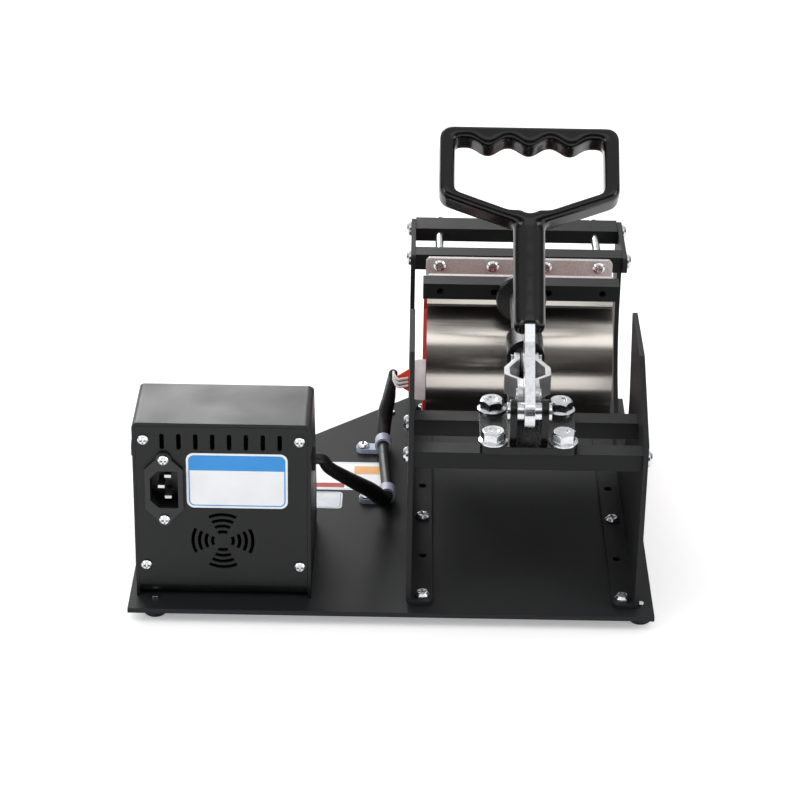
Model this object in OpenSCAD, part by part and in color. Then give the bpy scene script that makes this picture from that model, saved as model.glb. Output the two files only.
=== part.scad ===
// Lever-operated mug heat press: a toggle clamp closes a heated band round a mug.
// Millimetres, +Z up. The control panel faces +Y and the power inlet -Y.
// The origin lies on the table, under the middle of the base plate. The clamp is drawn closed.

/* [Base plate] */
// Width of the base plate
base_w = 316; // [300:1:360]
// Depth of the base plate
base_d = 291; // [285:1:330]
// Thickness of the base plate
base_t = 3; // [2:0.5:6]
// Cut corner, measured along the +Y edge
cut_w = 171; // [120:1:180]
// Cut corner, measured along the side edge
cut_d = 158; // [100:1:165]
// Diameter of a rubber foot
foot_d = 14; // [10:0.5:18]
// Height of a rubber foot
foot_h = 7.5; // [5:0.5:15]

/* [Side plates] */
// Middle of the press, from the base plate's +X edge
press_inset = 79; // [78:0.5:84]
// Clear width between the two side plates
frame_gap = 134.5; // [131:0.5:138]
// Thickness of a side plate
plate_t = 3; // [2:0.25:4]
// Distance of the side plates from the base plate's -Y edge
frame_inset = 9; // [5:0.5:12]
// Depth of a side plate
frame_d = 278; // [275:0.5:281]
// Height of the plate's -Y edge, above the base plate
near_edge_h = 111; // [108:0.5:113]
// Height of the plate's shoulder, which is its highest part
shoulder_h = 141; // [139:0.5:150]
// Radius of the round notch that the mug goes through
notch_r = 70; // [66:0.5:71]
// Height of the notch's centre above the base plate
notch_h = 88; // [86:0.5:92]
// Width of the foot flange that is bent inward
flange_w = 13; // [11:0.5:16]

/* [Cross bars] */
// Depth of a cross bar
bar_d = 13; // [12.5:0.25:15]
// Height of a cross bar
bar_h = 10.5; // [9:0.25:12]
// Height of the top of the clamp's two cross bars above the base plate
rail_top = 103; // [101:0.5:104]
// Depth of the adjuster bar on the +Y side
adjuster_d = 19; // [15:0.5:20]

/* [Toggle clamp] */
// Side of the square clamp base
clamp_w = 57; // [54:0.5:62]
// Thickness of the clamp base's flange
clamp_flange_t = 5; // [4:0.25:6]
// Distance between the clamp bolts
bolt_pitch = 41.2; // [40:0.2:42]
// Height of the plunger's axis above the cross bars
plunger_up = 26.5; // [26:0.1:27.5]
// Diameter of the plunger
rod_d = 15; // [13:0.25:16]
// Distance of the lever's pivot from the clamp base's -Y edge
pivot_y = 9.1; // [8:0.1:10]
// Height of the lever's pivot above the cross bars
pivot_up = 23.8; // [23:0.1:25]
// Distance between the lever's pivot and the link's pivot
crank_r = 18; // [17:0.25:18.5]
// Distance between the lever's pivot and the plunger's pivot, clamp closed
reach = 60.5; // [60:0.25:61.5]
// Length of the guide barrel
barrel_l = 26.5; // [24:0.5:28]
// Diameter of the pressure disc
disc_d = 32; // [26:0.5:36]

/* [Lever and grip] */
// Lean of the closed lever from the vertical, in degrees
lever_lean = 48; // [44:1:52]
// Length of the lever, from its pivot to the grip's top
lever_l = 182; // [176:1:200]
// Width of the grip
grip_w = 109; // [100:1:114]
// Width of the hand opening in the grip
hand_w = 90; // [82:1:92]
// Thickness of the grip
grip_t = 20; // [18:0.5:24]
// Diameter of the tube under the grip
tube_d = 19.5; // [18.5:0.25:22]
// Thickness of the steel arm
arm_t = 6; // [5:0.25:6]

/* [Heated band] */
// Radius of the mug space inside the heater mat
mug_r = 41.4; // [40:0.1:42]
// Height of the band's axis above the base plate
band_h = 71.5; // [70:0.5:74]
// Thickness of the silicone heater mat
mat_t = 3; // [2:0.1:3.5]
// Length of the heater mat, along the mug
mat_l = 122.6; // [115:0.2:126]
// Thickness of the steel jacket
jacket_t = 1.2; // [0.8:0.1:1.5]
// Length of the steel jacket
jacket_l = 119; // [112:0.5:122]
// Thickness of a clamping strip
strip_t = 3; // [2:0.25:4]
// Length of a clamping strip
strip_l = 121; // [116:0.5:124]
// Clear gap between the two clamping strips, for the mug's handle
handle_gap = 24.3; // [22:0.1:26]
// Length of the moving bar
moving_l = 124.8; // [122:0.2:128]
// Pitch of the screws along the bars
strip_pitch = 34.4; // [32:0.2:35]

/* [Control box] */
// Width of the control box
box_w = 105.2; // [103:0.2:108]
// Height of the control box
box_h = 117.3; // [115:0.5:130]
// Depth of the control box at its top
box_top_d = 52; // [48:0.5:56]
// Depth of the control box at its bottom
box_foot_d = 95; // [90:0.5:98]
// Height of the upright lip under the slanted panel
box_lip_h = 25; // [20:0.5:28]
// Thickness of the box's sheet
sheet_t = 2; // [1.5:0.1:2.5]
// Side of the control box, from the base plate's edge
box_inset_x = 4.25; // [3.5:0.25:6]
// Rear of the control box, from the base plate's -Y edge
box_inset_y = 15.5; // [12:0.5:18]
// Diameter of a push button
button_d = 9; // [7:0.5:10]
// Travel of a push button
button_travel = 1.2; // [0.8:0.1:1.5]
// Diameter of the heater cable
cable_d = 7; // [6:0.25:8]

/* [Hidden] */
$fn = 48;

// Shared clearances and overruns
over = 1;             // how far a cutter runs past a face
running = 0.05;       // radial gap of a pin or rod that turns or slides
thread = 0.1;         // radial gap between a screw and its hole
bend_r = 4;           // outer radius of a bend in the side plates
deck = foot_h + base_t;

// Base plate outline
base_x = base_w / 2;
base_y = base_d / 2;
press_x = base_x - press_inset;
foot_near_left = [15.4, 13.8];     // foot centres, from the nearest corner of the plate
foot_near_right = [7.5, 14.3];
foot_far_right = [7.5, 14];
foot_far_mid = [155.5, 28];
foot_recess_d = 9;
foot_screw_d = 4;
foot_dome_h = 1.4;

// Side plate outline, as distances from its -Y edge and heights above the base plate
frame_y = -base_y + frame_inset;
plate_x = frame_gap / 2;
shoulder_y = 59;
tip_y = 123;
tip_r = 2.5;
notch_y = 179;
column_y = notch_y + notch_r;
column_h = 111;
head_y = 208;
head_h = 138;
head_low = 128.5;
head_corner = 7;
flange_r = 4;
flange_screw_shares = [0.025, 0.37, 0.914];
flange_hole_shares = [0.197, 0.5215];
flange_screw_ys = frame_d * flange_screw_shares;
flange_hole_ys = frame_d * flange_hole_shares;
flange_screw_in = 6.9;
flange_screw_d = 5;
flange_head_d = 9;
flange_head_h = 3;

// Cross bars, placed under the bolts of the clamp
near_bar_y = 9.3;
far_bar_y = near_bar_y + bolt_pitch;
end_screw_d = 6;
end_screw_l = 12;
end_head_d = 9.5;
end_head_h = 3;

// Bars that hold the band, all with their tops level
band_y = 195.35;      // band centre, from the side plates' -Y edge
band_mid = frame_y + band_y;
band_top = 137.5;
clamp_y = frame_y + near_bar_y - (clamp_w - bolt_pitch) / 2;
flange_half = handle_gap / 2 + strip_t;
bar_half = flange_half + jacket_t;
moving_bar_y = band_mid - bar_half - bar_d;
fixed_bar_y = band_mid + bar_half;
adjuster_in = 2;       // distance of the adjuster bar from the side plates' +Y edge
adjuster_y = frame_y + frame_d - adjuster_in - adjuster_d;
adjuster_h = 9;
adjuster_screw_d = 5.5;
strip_h = 12;
strip_drop = 0.5;
strip_chamfer = 2;
strip_screw_d = 4;
strip_head_d = 8;
strip_head_h = 2.4;
grip_share = 0.4;      // share of the bar's depth that its strip screws reach into
screw_z = band_top - bar_h / 2;
adjuster_xs = [-1.5 * strip_pitch, 1.5 * strip_pitch];
strip_screw_xs = [for (i = [0 : 3]) (i - 1.5) * strip_pitch];

// Clamp base casting
clamp_corner = 5;
bolt_d = 8;
bolt_hole_gap = 0.4;
bolt_flange_d = 17.5;
bolt_flange_t = 1.8;
bolt_hex = 13;
bolt_head_h = 7;
bolt_l = 13;
cheek_in = 7.2;
cheek_t = 4;
cheek_out = cheek_in + cheek_t;
lobe_r = 7.5;
lobe_foot = 3.8;       // distance of the cheek's near foot from the pivot, toward -Y
rail_y = 25.6;
rail_up = 13;
barrel_y = 76.1;
barrel_wall = 3.9;
barrel_r = rod_d / 2 + barrel_wall;
barrel_chamfer = 2;
saddle_short = 5;      // the saddle under the barrel stops this far from its end
saddle_end = barrel_y + barrel_l - saddle_short;
pivot = [clamp_y + pivot_y, deck + rail_top + pivot_up];
plunger_z = deck + rail_top + plunger_up;
pin_d = 7;
pin_head_d = 11;
pin_head_t = 1.8;
pin_washer_gap = 0.1;

// The closed toggle: both pivots of the link and the lever's pivot lie on one line
rise = plunger_up - pivot_up;
dead_angle = asin(rise / reach);
crank = pivot + crank_r * [cos(dead_angle), sin(dead_angle)];
crank_local = crank_r * [cos(dead_angle + lever_lean), sin(dead_angle + lever_lean)];
link_l = reach - crank_r;
slide = pivot + reach * [cos(dead_angle), sin(dead_angle)];

// Link plates, bowed outward past the lever's arm
link_t = 3.2;
link_half_h = 7;
link_end_r = 6;
link_bow_in = 10.6;
link_bow_y = 9.5;      // where the bow starts, from the link's pivot on the lever
link_bow_run = 6;
link_flat = 9;
link_gap = 0.2;
link_tail = 4;         // inner face of the link at the plunger
bow_reach = link_bow_in + link_t + over;
rivet_d = 6;
rivet_head_d = 10;
rivet_head_t = 2;

// Plunger and disc
tongue_t = 6;
tongue_r = 6;
round_start = 12;
disc_t = 5;
disc_chamfer = 1.2;

// Lever
arm_root_r = 10;
arm_crank_r = 7.5;
arm_half_w = 8;
arm_neck = 41;
arm_end = 78;
tube_start = 51;
tube_chamfer = 1.6;
socket_gap = 0.05;
grip_edge_r = 3.2;
grip_corner_r = 7;
hand_corner_r = 3;
grip_bar_t = 10.5;
grip_side_h = 46;      // height of the grip's upright sides, outside
hand_side_h = 42.8;    // and inside, both from the grip's top
grip_corner_v = lever_l - grip_side_h;
hand_corner_v = lever_l - hand_side_h;
vee_angle = 20.5;
vee_flat = 12.6;
vee_notch = 5;
vee_notch_d = 2.1;
vee_foot = 9;
grip_h = 66;
vee_root = lever_l - grip_h;
finger_pitch = 25;
finger_depth = 3;
finger_run = 39;       // half of the stretch of the grip's bar that has finger grooves

// Heated band
jacket_r = mug_r + mat_t + 0.1;
jacket_end = 1.2;
tab_l = 17;
tab_angle = 18.5;
tab_wide_l = 6.5;      // stretch of the tab that is as wide as at the mat
tab_neck_half = 9.5;   // half widths at the start and the tip of the tab's taper
tab_tip_half = 3;
tab_t = 2.2;           // thickness of the tab, thinner than the mat and level with its outside
wire_d = 1.8;
wire_gap = 0.3;
wire_lead = 3;
lead_share = 0.6;      // how much shorter the lower wire's lead is, and how much longer the upper one's

// Control box
box_x = -base_x + box_inset_x;
box_y = -base_y + box_inset_y;
floor_bend_r = 8;
box_bend_r = 3.5;     // outer radius of the shell's two bends along its top
return_w = 12;
panel_screw_d = 3;
panel_head_d = 6.4;
panel_head_h = 2;
panel_screw_in = 6.6;
panel_screw_shares = [0.186, 0.907];
panel_screw_zs = box_h * panel_screw_shares;
slot_first = 17.6;
slot_pitch = 9.9;
slot_xs = [for (i = [0 : 7]) slot_first + i * slot_pitch];
slot_w = 2.7;
slot_l = 10.4;
slot_down = 6.9;
slot_z = box_h - slot_down - slot_l / 2;
grille_up = 38.8;
grille_at = [box_w / 2, grille_up];
grille_first_r = 6.2;
grille_pitch = 3.9;
grille_rs = [for (i = [0 : 3]) grille_first_r + i * grille_pitch];
grille_w = 2;
grille_half = 27;
inlet_at = [18.4, 74];
inlet_screw_up = 20;
inlet_w = 16.6;
inlet_hole_h = 24.6;
inlet_corner = 5;
inlet_front_t = 2;
inlet_depth = 15;
inlet_rim = 2;
inlet_side_gap = 0.2;
pin_w = 4;
pin_t = 2;
pin_side = 2;          // distance of each pin from the socket's upright middle line
pin_half_pitch = 7;
pin_places = [[-pin_side, 0], [pin_side, pin_half_pitch], [pin_side, -pin_half_pitch]];
fuse_at = [35, 83];
fuse_d = 12;
fuse_out = 3;
rocker_at = [35, 51];
rocker_w = 13;
rocker_h = 20;
rocker_frame = 2;
rocker_out = 1.2;
rocker_gap = 0.3;
rocker_wall = 1;
rocker_pin_d = 2.4;
rocker_pin_l = 0.7;    // how far each of the rocker's pins reaches into the bezel's wall
rocker_tip = 7;        // lean of the rocker at rest, with its lower half pressed in
rocker_axis_x = 4.5;
cable_at = [29.5, 80];
grommet_d = 12;

// Slanted panel of the control box
slant_run = box_foot_d - box_top_d;
slant_rise = box_h - box_lip_h;
slant = atan(slant_run / slant_rise);
bezel_w = 78;
bezel_l = 72;
bezel_t = 2.5;
bezel_corner = 4;
module_t = 12;
window_w = 46;
window_l = 22;
window_up = 14;
window_t = 1.5;
button_pitch = 20;
button_down = 17;
button_out = 1.8;
button_flange = 1.2;
button_gap = 0.3;
board_t = 1.6;
board_w = bezel_w - 8 * bezel_t;
board_l = bezel_l - 8 * bezel_t;
switch_t = 1;
board_top = -button_flange - button_travel - switch_t - running;

// Heater cable: points along its route, each with the radius of its sleeve there.
// The first ones are measured from its hole in the box, the next from the corner where the left
// side plate meets the base plate, and the last ones from the tip of the heater's tab.
cable_from = [box_x + box_w, box_y + cable_at.x, deck + cable_at.y];
plate_foot = [press_x - plate_x - plate_t, frame_y, deck];
tab_tip = [press_x - mat_l / 2 - tab_l, band_mid, deck + band_h];
box_points = [
    [-9.5, 0, 0, 3.5], [-3.5, 0, 0, 3.5], [2, 0, 0, 3.5], [6, 2, -2, 3.5], [10, 11, -12.5, 3.9],
    [22, 29, -30, 4.4]];
base_points = [
    [-23.5, 89, 30, 5], [-18, 103.5, 17.5, 5.2], [-15, 113, 10, 4.8], [-13.2, 121.5, 6.2, 3.5],
    [-13, 129, 6, 3.5], [-13.2, 136.5, 5.9, 3.5], [-14.5, 157, 5.4, 3.5], [-15.8, 179, 5.5, 3.5],
    [-16.2, 190.5, 5.9, 3.5], [-16.3, 198, 6, 3.5], [-16.2, 205.5, 6.4, 3.5], [-16, 212.5, 13.5, 4.6],
    [-15, 214.5, 22.5, 4.9]];
band_points = [
    [-5.2, 14, -38, 4.4], [-4, -1.5, -21.5, 3.6], [-2.8, -21.5, -4.5, 3.1], [-2.2, -35, 5, 2.9]];
clip_at = [4, 9];      // which of the base points have a clip round them
cable_points = concat(
    [for (p = box_points) concat(cable_from + flat(p), p[3])],
    [for (p = base_points) concat(plate_foot + flat(p), p[3])],
    [for (p = band_points) concat(tab_tip + flat(p), p[3])]);
clip_places = [for (i = clip_at) plate_foot + flat(base_points[i])];
clip_w = 9;
clip_t = 1.6;
clip_tab = 18;
clip_hole_in = clip_w / 2;
clip_screw_d = 4;
clip_head_d = 8;
clip_head_h = 2.4;
clip_gap = 0.3;
clip_play = 0.5;       // radial gap between the cable and a clip

// Corner at b between a and c, rounded with radius r
function corner(a, b, c, r, n = 6) =
    r == 0 ? [b] :
    let (u = (a - b) / norm(a - b), v = (c - b) / norm(c - b),
         half = acos(u * v) / 2, along = r / tan(half),
         p = b + u * along, q = b + v * along,
         mid = b + (u + v) / norm(u + v) * (r / sin(half)),
         s = atan2(p.y - mid.y, p.x - mid.x), e = atan2(q.y - mid.y, q.x - mid.x),
         turn = e - s > 180 ? e - s - 360 : e - s < -180 ? e - s + 360 : e - s)
    [for (i = [0 : n]) mid + r * [cos(s + turn * i / n), sin(s + turn * i / n)]];

// Closed outline through points [x, y, corner radius]
function outline(pts, n = 6) =
    [for (i = [0 : len(pts) - 1])
        let (a = pts[(i + len(pts) - 1) % len(pts)], b = pts[i], c = pts[(i + 1) % len(pts)])
        each corner([a.x, a.y], [b.x, b.y], [c.x, c.y], b.z, n)];

function unit(v) = v / norm(v);
function flat(v) = [v[0], v[1], v[2]];

// Points of a Catmull-Rom curve through p, with n steps in each span
function curve(p, n) =
    [for (i = [0 : len(p) - 2], k = [0 : n - 1])
        let (a = p[max(i - 1, 0)], b = p[i], c = p[i + 1], d = p[min(i + 2, len(p) - 1)], t = k / n)
        0.5 * (2 * b + (c - a) * t + (2 * a - 5 * b + 4 * c - d) * t * t
               + (3 * b - a - 3 * c + d) * t * t * t),
     p[len(p) - 1]];

// Normals carried along the tangents t without twist
function carried(t, list, i = 1) =
    i == len(t) ? list :
    let (n = list[i - 1]) carried(t, concat(list, [unit(n - (n * t[i]) * t[i])]), i + 1);

// Round tube through points [x, y, z, radius]
module tube(p, sides) {
    last = len(p) - 1;
    t = [for (i = [0 : last]) unit(flat(p[min(i + 1, last)]) - flat(p[max(i - 1, 0)]))];
    start = abs(t[0].z) < 0.9 ? [0, 0, 1] : [1, 0, 0];
    n = carried(t, [unit(start - (start * t[0]) * t[0])]);
    rings = [for (i = [0 : last], j = [0 : sides - 1])
        flat(p[i]) + p[i][3] * (cos(360 * j / sides) * n[i] + sin(360 * j / sides) * cross(t[i], n[i]))];
    walls = [for (i = [0 : last - 1], j = [0 : sides - 1])
        let (a = i * sides + j, b = i * sides + (j + 1) % sides)
        each [[a, a + sides, b], [b, a + sides, b + sides]]];
    ends = [[for (j = [0 : sides - 1]) j], [for (j = [sides - 1 : -1 : 0]) last * sides + j]];
    polyhedron(points = rings, faces = concat(walls, ends), convexity = 6);
}

// Rectangle with round corners, centred
module round_rect(w, d, r) {
    square([w - 2 * r, d], center = true);
    square([w, d - 2 * r], center = true);
    for (x = [-1, 1], y = [-1, 1])
        translate([x * (w / 2 - r), y * (d / 2 - r)]) circle(r);
}

// Points of an arc round c, from angle a to angle b
function arc(c, r, a, b, n = 12) = [for (i = [0 : n]) let (t = a + (b - a) * i / n) c + r * [cos(t), sin(t)]];

// Angle at which a line touches the circles round p and q: side is 1 or -1
function touch(p, q, rp, rq, side) =
    atan2(q.y - p.y, q.x - p.x) + side * acos((rp - rq) / norm(q - p));

// Outline of a strap round two circles
function strap(p, q, rp, rq) =
    let (a = touch(p, q, rp, rq, -1), b = touch(p, q, rp, rq, 1))
    concat(arc(q, rq, a, b), arc(p, rp, b, a + 360));

// Outline in the Y-Z plane, extruded along X between two planes
module across(x_from, x_to) {
    translate([x_from, 0, 0]) rotate([90, 0, 90]) linear_extrude(x_to - x_from, convexity = 6) children();
}

// Rod along X
module rod_x(x_from, x_to, d) {
    translate([x_from, 0, 0]) rotate([0, 90, 0]) cylinder(h = x_to - x_from, d = d);
}

// Screw with a low domed head and a cross recess: the head stands on z = 0
module pan_screw(head_d, head_h, d, l) {
    recess_share = 0.62;
    slot_share = 0.16;
    depth_share = 0.45;
    crown_share = 0.7;
    difference() {
        union() {
            cylinder(h = head_h / 2, d = head_d);
            translate([0, 0, head_h / 2]) cylinder(h = head_h / 2, d1 = head_d, d2 = head_d * crown_share);
            translate([0, 0, -l]) cylinder(h = l, d = d);
        }
        for (turn = [0, 90])
            rotate([0, 0, turn])
                translate([-head_d * recess_share / 2, -head_d * slot_share / 2, head_h * (1 - depth_share)])
                    cube([head_d * recess_share, head_d * slot_share, head_h]);
    }
}

// Foot centres on the table
foot_places = [
    [-base_x + foot_near_left.x, -base_y + foot_near_left.y],
    [base_x - foot_near_right.x, -base_y + foot_near_right.y],
    [base_x - foot_far_right.x, base_y - foot_far_right.y],
    [-base_x + foot_far_mid.x, base_y - foot_far_mid.y]];

module base_plate() {
    color("#2e2f33")
    difference() {
        translate([0, 0, foot_h]) linear_extrude(base_t) polygon([
            [-base_x, -base_y], [base_x, -base_y], [base_x, base_y],
            [-base_x + cut_w, base_y], [-base_x, base_y - cut_d]]);
        for (p = foot_places)
            translate([p.x, p.y, foot_h - over])
                cylinder(h = base_t + 2 * over, d = foot_screw_d + 2 * thread);
        for (s = [-1, 1], y = flange_screw_ys)
            translate([press_x + s * (plate_x - flange_screw_in), frame_y + y, foot_h - over])
                cylinder(h = base_t + 2 * over, d = flange_screw_d + 2 * thread);
        for (p = clip_places)
            translate([p.x - clip_tab + clip_hole_in, p.y, foot_h - over])
                cylinder(h = base_t + 2 * over, d = clip_screw_d + 2 * thread);
    }
}

module rubber_feet() {
    taper = 1;
    color("#1c1c1d")
    for (p = foot_places)
        translate([p.x, p.y, 0])
            difference() {
                union() {
                    cylinder(h = taper, d1 = foot_d - 2 * taper, d2 = foot_d);
                    translate([0, 0, taper]) cylinder(h = foot_h - taper, d = foot_d);
                }
                translate([0, 0, -over]) cylinder(h = foot_h / 2 + over, d = foot_recess_d);
                cylinder(h = foot_h + over, d = foot_screw_d + 2 * thread);
            }
}

module foot_screws() {
    head_h = 1.8;
    color("#c9ccd0")
    for (p = foot_places)
        translate([p.x, p.y, foot_h / 2]) {
            translate([0, 0, -head_h]) cylinder(h = head_h, d = foot_recess_d - 4 * thread);
            cylinder(h = foot_h / 2 + base_t + foot_dome_h, d = foot_screw_d);
        }
}

// One side plate: s is -1 for the left and 1 for the right
module side_plate(s) {
    far_y = frame_y + frame_d;
    profile = outline([
        [frame_y, deck, 0], [frame_y, deck + near_edge_h, 0],
        [frame_y + shoulder_y, deck + shoulder_h, tip_r], [frame_y + tip_y, deck + shoulder_h, tip_r],
        [frame_y + notch_y - notch_r, deck + notch_h, 0],
        [frame_y + notch_y, deck + notch_h, 0],
        [frame_y + column_y, deck + notch_h, 0],
        [frame_y + column_y, deck + column_h, tip_r],
        [frame_y + head_y, deck + head_low, tip_r], [frame_y + head_y, deck + head_h, tip_r],
        [far_y - head_corner, deck + head_h, tip_r], [far_y, deck + head_h - head_corner, tip_r],
        [far_y, deck, 0]]);
    in_x = s * plate_x;
    out_x = s * (plate_x + plate_t);
    color("#2e2f33")
    translate([press_x, 0, 0])
    difference() {
        union() {
            across(min(in_x, out_x), max(in_x, out_x))
                difference() {
                    polygon(profile);
                    intersection() {
                        translate([frame_y + notch_y, deck + notch_h]) circle(notch_r);
                        translate([frame_y + notch_y - notch_r, deck]) square([2 * notch_r, notch_h]);
                    }
                }
            foot_flange(s);
        }
        // The bend's outer edge is rounded
        translate([out_x, frame_y - over, deck])
            rotate([90, 0, 0]) mirror([0, 0, 1])
                linear_extrude(frame_d + 2 * over)
                    mirror([s > 0 ? 0 : 1, 0])
                        difference() {
                            translate([-bend_r, -over]) square(bend_r + over);
                            translate([-bend_r, bend_r]) circle(bend_r);
                        }
        for (p = [[near_bar_y, rail_top - bar_h / 2], [far_bar_y, rail_top - bar_h / 2],
                  [fixed_bar_y - frame_y + bar_d / 2, screw_z],
                  [adjuster_y - frame_y + adjuster_d / 2, screw_z]])
            translate([0, frame_y + p.x, deck + p.y])
                rod_x(min(in_x, out_x) - over, max(in_x, out_x) + over, end_screw_d + 2 * thread);
    }
}

// Flange bent inward from a side plate, with its screw holes
module foot_flange(s) {
    inner = s * (plate_x - flange_w);
    outer = s * (plate_x + plate_t);
    difference() {
        translate([0, 0, deck])
            linear_extrude(plate_t)
                polygon(outline([
                    [outer, frame_y, 0], [inner, frame_y, flange_r],
                    [inner, frame_y + frame_d, flange_r], [outer, frame_y + frame_d, 0]]));
        for (y = concat(flange_screw_ys, flange_hole_ys))
            translate([s * (plate_x - flange_screw_in), frame_y + y, deck - over])
                cylinder(h = plate_t + 2 * over, d = flange_screw_d + 2 * thread);
    }
}

module side_plate_screws() {
    color("#c9ccd0")
    for (s = [-1, 1], y = flange_screw_ys)
        translate([press_x + s * (plate_x - flange_screw_in), frame_y + y, deck + plate_t])
            rotate([0, 0, y]) pan_screw(flange_head_d, flange_head_h, flange_screw_d, plate_t + base_t);
}

// Bar between the side plates, with a threaded hole in each end
module frame_bar(y, d, z, h) {
    translate([press_x, y, z])
    difference() {
        translate([-plate_x, 0, 0]) cube([frame_gap, d, h]);
        for (s = [-1, 1])
            translate([s * plate_x, d / 2, h / 2])
                rotate([0, -s * 90, 0]) translate([0, 0, -over])
                    cylinder(h = end_screw_l + over, d = end_screw_d + 2 * thread);
    }
}

module clamp_rail(y) {
    color("#26272a")
    difference() {
        frame_bar(frame_y + y - bar_d / 2, bar_d, deck + rail_top - bar_h, bar_h);
        for (x = [-1, 1])
            translate([press_x + x * bolt_pitch / 2, frame_y + y, deck + rail_top - bar_h - over])
                cylinder(h = bar_h + 2 * over, d = bolt_d + 2 * thread);
    }
}

module cross_bar_near() { clamp_rail(near_bar_y); }
module cross_bar_far() { clamp_rail(far_bar_y); }

module cross_bar_screws() {
    z_low = deck + rail_top - bar_h / 2;
    z_high = deck + screw_z;
    color("#c9ccd0")
    for (s = [-1, 1],
         p = [[frame_y + near_bar_y, z_low], [frame_y + far_bar_y, z_low],
              [fixed_bar_y + bar_d / 2, z_high], [adjuster_y + adjuster_d / 2, z_high]])
        translate([press_x + s * (plate_x + plate_t), p.x, p.y])
            rotate([0, s * 90, 0])
                pan_screw(end_head_d, end_head_h, end_screw_d, plate_t + end_screw_l - over);
}

module adjuster_bar() {
    z = deck + screw_z - adjuster_h / 2;
    color("#26272a")
    difference() {
        frame_bar(adjuster_y, adjuster_d, z, adjuster_h);
        for (x = adjuster_xs)
            translate([press_x + x, adjuster_y - over, deck + screw_z])
                rotate([-90, 0, 0]) cylinder(h = adjuster_d + 2 * over, d = adjuster_screw_d + 2 * thread);
    }
}

module fixed_band_bar() {
    color("#26272a")
    difference() {
        frame_bar(fixed_bar_y, bar_d, deck + band_top - bar_h, bar_h);
        for (x = strip_screw_xs)
            translate([press_x + x, fixed_bar_y - over, deck + screw_z])
                rotate([-90, 0, 0]) cylinder(h = bar_d + 2 * over, d = strip_screw_d + 2 * thread);
        for (x = adjuster_xs)
            translate([press_x + x, fixed_bar_y + bar_d / 2, deck + screw_z])
                rotate([-90, 0, 0]) cylinder(h = bar_d, d = adjuster_screw_d + 2 * thread);
    }
}

// Two long screws tie the adjuster bar to the fixed bar
module adjuster_screws() {
    head_d = 9.5;
    head_h = 3;
    tip = fixed_bar_y + bar_d / 2 + over;
    color("#c9ccd0")
    for (x = adjuster_xs)
        translate([press_x + x, adjuster_y + adjuster_d, deck + screw_z])
            rotate([-90, 0, 0]) pan_screw(head_d, head_h, adjuster_screw_d, adjuster_y + adjuster_d - tip);
}

// Clamp casting: flange, two cheeks with rails, saddle and guide barrel
module clamp_base() {
    z0 = deck + rail_top;
    floor_z = z0 + clamp_flange_t;
    rail_z = z0 + rail_up;
    ramp = 3;
    color("#141414")
    translate([press_x, 0, 0])
    difference() {
        union() {
            translate([0, clamp_y + clamp_w / 2, z0])
                linear_extrude(clamp_flange_t) round_rect(clamp_w, clamp_w, clamp_corner);
            for (s = [-1, 1])
                across(s > 0 ? cheek_in : -cheek_out, s > 0 ? cheek_out : -cheek_in) {
                    translate(pivot) circle(lobe_r);
                    polygon([
                        [pivot.x - lobe_foot, z0 + over], [pivot.x - lobe_r, pivot.y],
                        [pivot.x + lobe_r * cos(30), pivot.y + lobe_r * sin(30)],
                        [clamp_y + rail_y, rail_z], [clamp_y + barrel_y - ramp, rail_z],
                        [clamp_y + barrel_y, plunger_z - over], [clamp_y + barrel_y + over, z0 + over]]);
                }
            across(-cheek_out, cheek_out)
                polygon([
                    [clamp_y + clamp_w - clamp_corner, z0], [clamp_y + saddle_end, z0],
                    [clamp_y + saddle_end + barrel_chamfer, plunger_z],
                    [clamp_y + barrel_y, plunger_z], [clamp_y + barrel_y, floor_z],
                    [clamp_y + clamp_w - clamp_corner, floor_z]]);
            translate([0, clamp_y + barrel_y, plunger_z]) rotate([-90, 0, 0]) {
                cylinder(h = barrel_l - barrel_chamfer, r = barrel_r);
                translate([0, 0, barrel_l - barrel_chamfer])
                    cylinder(h = barrel_chamfer, r1 = barrel_r, r2 = barrel_r - barrel_chamfer);
            }
        }
        translate([0, clamp_y + barrel_y - over, plunger_z])
            rotate([-90, 0, 0]) cylinder(h = barrel_l + 2 * over, d = rod_d + 2 * running);
        translate([0, pivot.x, pivot.y]) rod_x(-cheek_out - over, cheek_out + over, pin_d + 2 * thread);
        for (x = [-1, 1], y = [0, 1])
            translate([x * bolt_pitch / 2, frame_y + near_bar_y + y * bolt_pitch, z0 - over])
                cylinder(h = clamp_flange_t + 2 * over, d = bolt_d + 2 * bolt_hole_gap);
    }
}

// Hexagon flange bolts, with a dished top on each head
module clamp_bolts() {
    dish = 0.6;
    dish_share = 0.7;
    z = deck + rail_top + clamp_flange_t;
    color("#d4d6d9")
    for (x = [-1, 1], y = [0, 1])
        translate([press_x + x * bolt_pitch / 2, frame_y + near_bar_y + y * bolt_pitch, z])
            rotate([0, 0, 17 * (x + 2 * y)])
            difference() {
                union() {
                    cylinder(h = bolt_flange_t / 2, d = bolt_flange_d);
                    translate([0, 0, bolt_flange_t / 2])
                        cylinder(h = bolt_flange_t / 2, d1 = bolt_flange_d, d2 = bolt_hex);
                    intersection() {
                        cylinder(h = bolt_head_h, d = bolt_hex / cos(30), $fn = 6);
                        union() {
                            cylinder(h = bolt_head_h - over, d = bolt_hex / cos(30));
                            translate([0, 0, bolt_head_h - over])
                                cylinder(h = over, d1 = bolt_hex / cos(30), d2 = bolt_hex - over);
                        }
                    }
                    translate([0, 0, -bolt_l]) cylinder(h = bolt_l, d = bolt_d);
                }
                translate([0, 0, bolt_head_h - dish])
                    cylinder(h = dish + over, d1 = bolt_hex * dish_share / 2,
                d2 = bolt_hex * dish_share + over);
            }
}

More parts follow.
